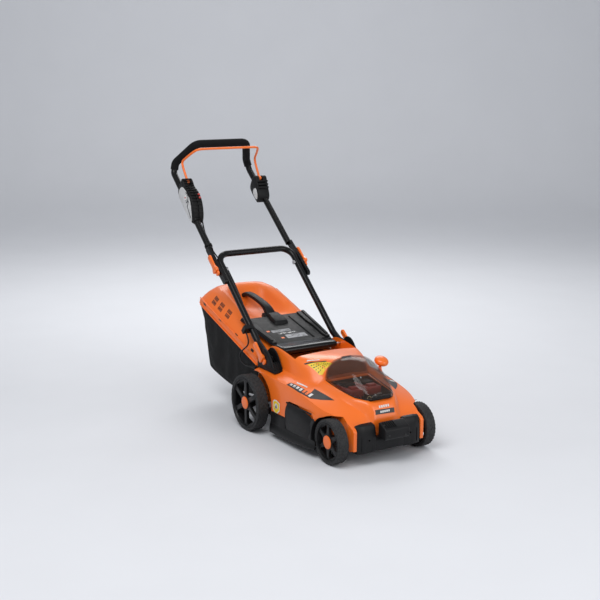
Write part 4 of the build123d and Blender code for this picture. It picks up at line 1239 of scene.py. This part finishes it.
def make_catcher_handle():
    """Carrying bar over the bowl: a flat strap with a stepped foot at its front end."""
    rings = []
    route = [(-684, 336, 40, 12), (-690, 347, 40, 12), (-702, 361, 37, 11), (-720, 373, 34, 9),
             (-748, 382, 31, 8), (-790, 391, 29, 8), (-835, 398, 29, 8), (-866, 399, 30, 8),
             (-885, 392, 32, 9), (-894, 378, 34, 9)]
    for i, (x, z, wide, thick) in enumerate(route):
        x0, z0 = route[max(i - 1, 0)][:2]
        x1, z1 = route[min(i + 1, len(route) - 1)][:2]
        length = math.hypot(x1 - x0, z1 - z0)
        nx, nz = -(z1 - z0) / length * thick, (x1 - x0) / length * thick
        half = wide / 2
        section = [(-half, -1), (-half, 0.4), (-half + 3, 1), (half - 3, 1), (half, 0.4), (half, -1),
                   (half - 4, -0.7), (-half + 4, -0.7)]
        rings.append([(x - nx * t, y, z - nz * t) for y, t in section])
    bar = subdivide(loft("bar", rings), 1)
    foot = loft("foot", [[(x, -half, low), (x, -half + 4, top), (x, half - 4, top), (x, half, low)]
                         for x, half, low, top in ((-678, 33, 334, 342), (-684, 34, 336, 350),
                                                   (-700, 32, 338, 354), (-716, 26, 338, 350))])
    bevel(foot, 1.8, 3, 25)
    paint_all((bar, foot), "trim_black")
    place(join("catcher_handle_strap", [bar, foot]), "grass_catcher", "trim_black", "catcher_handle")


BAG = [
    (-489, [(167, 213), (166, 160), (162, 108)]),
    (-560, [(169, 236), (167, 165), (160, 94)]),
    (-640, [(170, 262), (168, 172), (160, 88)]),
    (-720, [(170, 287), (168, 185), (158, 92)]),
    (-800, [(170, 313), (168, 205), (156, 103)]),
    (-880, [(169, 338), (166, 228), (154, 118)]),
]
BAG_REAR = [(-896, [(168, 342), (164, 235), (152, 130)]), (-946, [(166, 358), (160, 344), (152, 330)])]


REAR_STEPS = 14
CLOTH_FRAMES = 25


def bag_rings():
    """The bag's rows with others in between, about 16 mm apart, and REAR_STEPS of them up its rear panel."""
    rings = []
    rows = BAG + BAG_REAR
    for (xa, a), (xb, b) in zip(rows, rows[1:]):
        steps = REAR_STEPS if b is rows[-1][1] else max(2, round(abs(xb - xa) / 16))
        for k in range(steps):
            t = k / steps
            rings.append((xa + (xb - xa) * t, [(p[0] + (q[0] - p[0]) * t, p[1] + (q[1] - p[1]) * t)
                                               for p, q in zip(a, b)]))
    return rings + [rows[-1]]


def drape(bag):
    """Lets the pinned bag hang and suck in a little, by cloth simulation."""
    cloth = bag.modifiers.new("cloth", "CLOTH")
    settings = cloth.settings
    settings.quality = 6
    settings.mass = 0.25
    settings.vertex_group_mass = "pins"
    settings.tension_stiffness = 12
    settings.compression_stiffness = 8
    settings.bending_stiffness = 0.6
    settings.shrink_min = -0.012
    settings.use_pressure = True
    settings.uniform_pressure_force = -0.35
    settings.effector_weights.gravity = 0.8
    cloth.collision_settings.use_self_collision = False
    scene = bpy.context.scene
    for step in range(1, CLOTH_FRAMES + 1):
        scene.frame_set(step)
    settle(bag)
    scene.frame_set(1)


def make_bag():
    """Fabric bag: one sheet hung from the catcher's lid and stretched over its front frame."""
    across, around = 12, 14
    rings = bag_rings()
    verts = []
    for x, (top, mid, low) in rings:
        line = []
        for k in range(around):
            t = k / around
            line.append(((1 - t) ** 2 * top[0] + 2 * t * (1 - t) * mid[0] + t * t * low[0],
                         top[1] + (low[1] - top[1]) * t))
        for k in range(across):
            t = k / across
            line.append((low[0] * (1 - t), low[1]))
        full = line + [(0, low[1])] + [(-y, z) for y, z in reversed(line)]
        verts += [at(x, y, z) for y, z in full]
    n = 2 * (around + across) + 1
    faces = [(i * n + j, (i + 1) * n + j, (i + 1) * n + j + 1, i * n + j + 1)
             for i in range(len(rings) - 1) for j in range(n - 1)]
    bag = new_object("bag", verts, faces)
    rear = len(rings) - 1 - REAR_STEPS
    edges = (0, around, n - 1 - around, n - 1)
    held = [i * n + j for i in range(len(rings)) for j in range(n) if j in edges or i in (0, rear,
                                                                                          len(rings) - 1)]
    bag.vertex_groups.new(name="pins").add(held, 1.0, "REPLACE")
    drape(bag)
    bag.vertex_groups.clear()
    subdivide(bag, 1)
    shell = bag.modifiers.new("thickness", "SOLIDIFY")
    shell.thickness = 1.2 * MM
    shell.offset = 0
    settle(bag)
    bag.name = "catcher_bag_fabric"
    paint(bag, "fabric")
    place(bag, "grass_catcher", "bag_fabric", "catcher_bag", angle=60)
    seam = [(-492, 161, 111), (-560, 160.5, 95), (-640, 160.5, 89), (-720, 158.5, 93), (-800, 156.5, 104),
            (-884, 154.5, 120), (-897, 153, 134), (-922, 152, 236), (-945, 152, 328)]
    piping = [paint(spline("seam", [(x, s * y, z) for x, y, z in seam], 2.2), "fabric") for s in (-1, 1)]
    place(join("catcher_bag_piping", piping), "grass_catcher", "bag_fabric")


make_catcher_lid()
make_catcher_handle()
make_bag()


# ---------- handle ----------
LOWER_PIVOT = (-430, 257)
UPPER_PIVOT = (-760, 523.3)
TUBE_SLOPE = math.radians(40.5)
UP_TUBE = (-math.cos(TUBE_SLOPE), 0, math.sin(TUBE_SLOPE))
OFF_TUBE = (math.sin(TUBE_SLOPE), 0, math.cos(TUBE_SLOPE))


def make_bracket(s, name):
    """Arched side cheeks that hold the lower handle's end, joined in front by a ribbed wedge."""
    arch = [(-474, 223), (-470, 250), (-458, 276), (-440, 291), (-420, 294), (-402, 286), (-386, 270),
            (-370, 247), (-356, 224)]
    arch = rounded(arch, 1)
    parts = []
    for y0, y1 in ((143.4, 147.2), (173.8, 179.5)):
        parts.append(prism("cheek", arch, span(y0, y1, s), rounding=1.4, segments=3))
    inset = prism("inset", scaled(arch, 0.8), span(178.6, 181.2, s), rounding=1.0)
    parts.append(inset)
    wedge = [(-404, 222), (-404, 240), (-388, 250), (-376, 246), (-362, 226), (-358, 222)]
    parts.append(prism("wedge", wedge, span(144, 178, s), rounding=1.5))
    for k in range(3):
        y = s * (152 + 9 * k)
        parts.append(prism("rib", [(-398, 240), (-386, 253), (-374, 249), (-360, 228), (-376, 232)],
                           (y - 1.4, y + 1.4), rounding=0.6))
    parts.append(prism("base", [(-476, 217), (-476, 225), (-354, 225), (-354, 217)], span(143.5, 179, s),
                       rounding=1.5))
    paint_all(parts, "trim_black")
    x, z = LOWER_PIVOT
    bolt = weld(lathe("bolt", (x, 0, z), [(s * 140.6, 0.01), (s * 140.6, 8), (s * 143.6, 8), (s * 143.6, 4),
                                          (s * 179, 4), (s * 179, 9.5), (s * 182.6, 9.5), (s * 182.6, 0.01)],
                      36))
    place(join(f"handle_bracket_{name}_arched", parts + [paint(bolt, "steel")]), "deck", "trim_black",
          f"handle_bracket_{name}")


def make_cam(s, name, body, pivot, y):
    """Quick-release lever: a channelled orange arm with a round cam head and a riveted pin."""
    rings = []
    for u, half, thin, thick in ((-8.5, 8, -3, 3.4), (-7.5, 12, -4.6, 4.8), (-3, 15.5, -5, 5.6),
                                 (4, 15.5, -5, 5.6), (10, 12.5, -4.2, 5.4), (16, 10, -2.8, 4.8),
                                 (34, 9.6, -2.6, 4.8), (54, 10, -2.6, 5.2), (66, 9.4, -2.6, 5.8),
                                 (71, 6, -1.6, 5)):
        rings.append([(u, -thick, -half), (u, -thick - 0.8, 0), (u, -thick, half), (u, -thin, half),
                      (u, -thin, -half)])
    arm = bevel(loft("arm", rings), 1.5, 3, 30)
    groove = block("tool", (16, 60), (-9, -3.8), (-4.6, 4.6), 0)
    cut(arm, groove)
    paint(arm, "orange")
    rivet = lathe("rivet", (0, 0, 0), [(-5.5, 4.8), (-7.6, 4.8), (-8.4, 3.8), (-8.5, 1.5), (-7.6, 0.01)], 24)
    paint(weld(rivet), "rivet")
    pin = lathe("pin", (0, 0, 0), [(-8.6, 0.01), (-8.6, 2.8), (8.6, 2.8), (8.6, 0.01)], 20, axis="Z")
    paint(weld(pin), "rivet")
    lever = join(f"{name}_riveted", [arm, rivet, pin])
    if s > 0:
        flip_side(lever)
    carry(lever, (pivot[0], s * y, pivot[1]), UP_TUBE, OFF_TUBE)
    place(lever, body, "lever_orange", name)


def control_outline(points, share=1.0):
    """A control box's outline, resized about its middle, with round corners."""
    return rounded(scaled(points, share), 2)


TUBE_SPOT = (-1008, 727.6)
TUBE_ALONG = (-0.759, 0.651)
TUBE_OFF = (0.651, 0.759)
BUTTON = (-1008, 0, 770)


def beside_tube(points):
    """Outline points given along and off the straight stretch of the upper handle tube."""
    return [tuple(TUBE_SPOT[i] + TUBE_ALONG[i] * t + TUBE_OFF[i] * n for i in (0, 1)) for t, n in points]


SWITCH = beside_tube([(-72, -8), (-66, -15), (-20, -17), (60, -17), (94, -13), (104, 6), (108, 40), (102, 57),
                      (88, 57), (68, 50), (40, 58), (10, 60), (-16, 53), (-40, 38), (-62, 16)])
SWITCH_PANEL = beside_tube([(-63, -8), (-58, -13), (-20, -15), (50, -15), (82, -10), (90, 14), (82, 38),
                            (56, 47), (24, 50), (-2, 44), (-24, 31), (-46, 12)])
PIVOT_CASE = beside_tube([(14, -14), (30, -16), (80, -16), (100, -10), (108, 14), (109, 42), (102, 57),
                          (88, 58), (72, 46), (40, 30), (18, 14)])


def tube_bore_tool():
    """The straight stretch of the upper handle's right-hand tube."""
    start = Vector((-843, -172, 586))
    end = Vector((-1153, -170, 852))
    along = (end - start).normalized()
    bore = weld(lathe("tool", (0, 0, 0), [(100, 0.01), (100, 12.3), (400, 12.3), (400, 0.01)], 32, axis="Z"))
    side = along.cross(Vector((0, 1, 0)))
    return carry(bore, start, side, along)


def rib_outlines():
    """Short ribs across every second step of the switch box's outline, on its side away from the tube."""
    edge = control_outline(SWITCH, 1.012)
    outlines = []
    for (x, z), (next_x, next_z) in list(zip(edge, edge[1:] + edge[:1]))[::2]:
        clear = (x - TUBE_SPOT[0]) * TUBE_OFF[0] + (z - TUBE_SPOT[1]) * TUBE_OFF[1]
        if clear > 20 and x > -1080:
            length = math.hypot(next_x - x, next_z - z)
            dx, dz = (next_x - x) / length, (next_z - z) / length
            outlines.append([(x + t * dx + out * dz, z + t * dz - out * dx)
                             for t, out in ((-1.5, -3), (1.5, -3), (1.5, 0.6), (-1.5, 0.6))])
    return outlines


def make_switch_box():
    """Two halves round the tube: a ribbed black body, and a pale plate with the push button's collar."""
    black = prism("black", control_outline(SWITCH), (-162, -142), rounding=3, segments=3)
    shell = prism("shell", control_outline(SWITCH, 0.985), (-187, -162), rounding=4, segments=3)
    ribs = [prism("rib", outline, (-184, -145), rounding=0.5, segments=1) for outline in rib_outlines()]
    plate = prism("plate", control_outline(SWITCH_PANEL), (-189.5, -186), rounding=1.5, segments=3)
    seam = prism("seam", beside_tube([(-50, 2), (-50, -2), (0, 12), (6, 38), (2, 38), (-4, 15)]),
                 (-190.0, -189))
    collar = []
    for radius, y0, y1, finish in ((15.5, -190.6, -186, "white"), (12.6, -191.2, -186, "decal")):
        ring = lathe("ring", BUTTON, [(y1, radius), (y0 + 0.8, radius), (y0, radius - 0.8), (y0, 11.5),
                                      (y1, 11.5)], 48)
        collar.append(paint(weld(ring), finish))
    arc = lathe("arc", BUTTON, [(-189.6, 17.4), (-191, 17.4), (-191, 20.6), (-189.6, 20.6)], 30,
                start=math.radians(-80), sweep=math.radians(170))
    collar.append(paint(arc, "decal"))
    tabs = []
    for x, z in ((-968, 786), (-960, 774)):
        tabs.append(paint(block("tab", (x - 4, x + 2.5), (-157, -150), (z - 4, z + 2.5), 1), "red"))
    paint_all((black, shell, *ribs), "trim_black")
    paint(plate, "pale")
    paint(seam, "decal")
    outer_parts = [shell, plate, seam, *collar]
    for part in (black, shell):
        cut(part, tube_bore_tool())
        cut(part, box_tool((-1112, -1010), (-168, -152), (811, 900)))
    for part in (plate, shell):
        cut(part, disc_tool(BUTTON[0], BUTTON[2], 11.4, -200, -181))
    place(join("switch_box_inner_ribbed", [black, *ribs, *tabs]), "upper_handle", "control_black",
          "switch_box_inner")
    place(join("switch_box_outer_plated", outer_parts), "upper_handle", "control_black", "switch_box_outer")


def make_pivot_box():
    """Plain case for the bail's other pivot, with a pale panel and three ribs."""
    body = prism("body", control_outline(PIVOT_CASE), (136.5, 187.5), rounding=4, segments=3)
    cut(body, flip_side(tube_bore_tool()))
    cut(body, box_tool((-1112, -1010), (152, 168), (811, 900)))
    paint(body, "trim_black")
    pale = paint(prism("pale", control_outline(beside_tube([(24, -8), (66, -8), (72, 12), (60, 28),
                                                            (28, 10)])),
                       (134.6, 138), rounding=0.8), "pale")
    ribs = [paint(prism("rib", beside_tube([(t, 36 + 0.6 * (t - 50)), (t + 4, 38 + 0.6 * (t - 50)),
                                            (t + 4, 47 + 0.6 * (t - 50)), (t, 45 + 0.6 * (t - 50))]),
                        (140, 184), rounding=0.5), "trim_black") for t in (46, 57, 68)]
    place(join("pivot_box_cased", [body, pale, *ribs]), "upper_handle", "control_black", "pivot_box")


def make_seat(s, name, body, pivot, y0, y1):
    """Fixed washer block under a quick-release lever."""
    disc = weld(lathe("disc", (0, 0, 0), [(y0, 0.01), (y0, 13), (y1 - 1, 13), (y1, 12), (y1, 0.01)], 40))
    foot = prism("foot", rounded([(-24, -9), (-24, 9), (-8, 12), (-8, -12)], 2), (y0, y1 + 5), rounding=1.5,
                 segments=2)
    seat = join("seat", [disc, foot])
    paint(seat, "orange")
    if s < 0:
        flip_side(seat)
    carry(seat, (pivot[0], 0, pivot[1]), UP_TUBE, OFF_TUBE)
    seat.name = f"cam_seat_{name}"
    place(seat, body, "lever_orange")


def make_bail():
    """Bent wire bail with soft corners and an eye round each pivot."""
    half = [(-1050, 160, 825), (-1066, 161, 850), (-1088, 162.5, 884), (-1092, 162, 902), (-1070, 156, 917),
            (-1034, 144, 940), (-1014, 132, 952), (-1012, 100, 953), (-1012, 40, 953)]
    route = half + [(x, -y, z) for x, y, z in reversed(half)]
    wire = spline("wire", route, 4.5)
    eyes = [weld(lathe("eye", (-1050, 0, 825), [(s * 160 - 5, 0.01), (s * 160 - 5, 8), (s * 160 - 4, 9),
                                                (s * 160 + 4, 9),
                                               (s * 160 + 5, 8), (s * 160 + 5, 0.01)], 32)) for s in (-1, 1)]
    paint_all((wire, *eyes), "orange_satin")
    place(join("bail_bar_bent", [wire, *eyes]), "bail", "bail_orange", "bail_bar")


def make_button():
    """Domed push button with a red dot."""
    button = lathe("button", BUTTON, [(-186.6, 0.01), (-186.6, 10.8), (-192.4, 10.8), (-193.6, 9.8),
                                      (-193.9, 8),
                                               (-193.2, 4), (-193.0, 0.01)], 48)
    paint(weld(button), "white")
    dot = paint(weld(lathe("dot", BUTTON, [(-193.0, 0.01), (-193.0, 3.8), (-193.7, 3.6), (-193.9, 0.01)],
                           24)), "red")
    place(join("safety_button_domed", [button, dot]), "safety_button", "button_red", "safety_button")


for cam_side, cam_name in SIDES[::-1]:
    make_bracket(cam_side, cam_name)
    make_cam(cam_side, f"lower_cam_{cam_name}", f"lower_cam_{cam_name}", LOWER_PIVOT, 187.9)
    make_cam(cam_side, f"upper_cam_{cam_name}", f"upper_cam_{cam_name}", UPPER_PIVOT, 194.8)
    make_seat(cam_side, f"lower_{cam_name}", "deck", LOWER_PIVOT, 180.6, 182.6)
    make_seat(cam_side, f"upper_{cam_name}", "upper_handle", UPPER_PIVOT, 187.2, 189.4)
make_bail()
make_switch_box()
make_pivot_box()
make_button()


# ---------- stage ----------
def make_stage():
    """Pale paper floor that sweeps up into a back wall, in metres, turned to face the camera."""
    half_width, back, rise = 7.0, -5.5, 3.5
    profile = [(6.0, 0.0), (0.0, 0.0), (-3.0, 0.0), (back + 1.0, 0.06), (back + 0.35, 0.35), (back, 1.1),
               (back, rise)]
    turn = Matrix.Rotation(math.radians(-31.6), 4, "Z")
    verts = [turn @ Vector((along, side * half_width, up - 0.0005)) for along, up in profile
             for side in (-1, 1)]
    faces = [(2 * i, 2 * i + 1, 2 * i + 3, 2 * i + 2) for i in range(len(profile) - 1)]
    floor = new_object("studio_floor", verts, faces)
    subdivide(floor, 2)
    shader = Shader("studio_paper", (0.70, 0.71, 0.74), 0.75)
    shader.mottle(3, 0.02).uneven(8, 0.05).grain(300, 0.0002, 0.05)
    floor.data.materials.append(shader.mat)
    floor.data.shade_smooth()


def area_light(name, location, target, size, power):
    data = bpy.data.lights.new(name, "AREA")
    data.shape = "RECTANGLE"
    data.size, data.size_y = size
    data.energy = power
    lamp = add_object(name, data)
    lamp.location = location
    lamp.rotation_euler = (Vector(target) - Vector(location)).to_track_quat("-Z", "Y").to_euler()


def make_lights():
    """Soft studio light from four large lamps and a pale sky."""
    bpy.context.scene.view_settings.view_transform = "Standard"
    world = bpy.data.worlds.new("studio")
    world.use_nodes = True
    sky = world.node_tree.nodes["Background"]
    sky.inputs["Color"].default_value = (0.92, 0.95, 1.0, 1)
    sky.inputs["Strength"].default_value = 0.42
    bpy.context.scene.world = world
    area_light("key", (1.2, -1.8, 3.2), (0.1, 0, 0.3), (2.6, 2.0), 78)
    area_light("fill", (3.2, 1.0, 1.6), (0.2, 0, 0.3), (2.0, 2.0), 32)
    area_light("wall", (-1.2, -0.2, 2.6), (-4.0, 2.6, 1.4), (2.6, 1.2), 38)
    area_light("back", (-2.4, 1.6, 2.6), (0, 0, 0.4), (2.4, 1.4), 45)


make_stage()
make_lights()
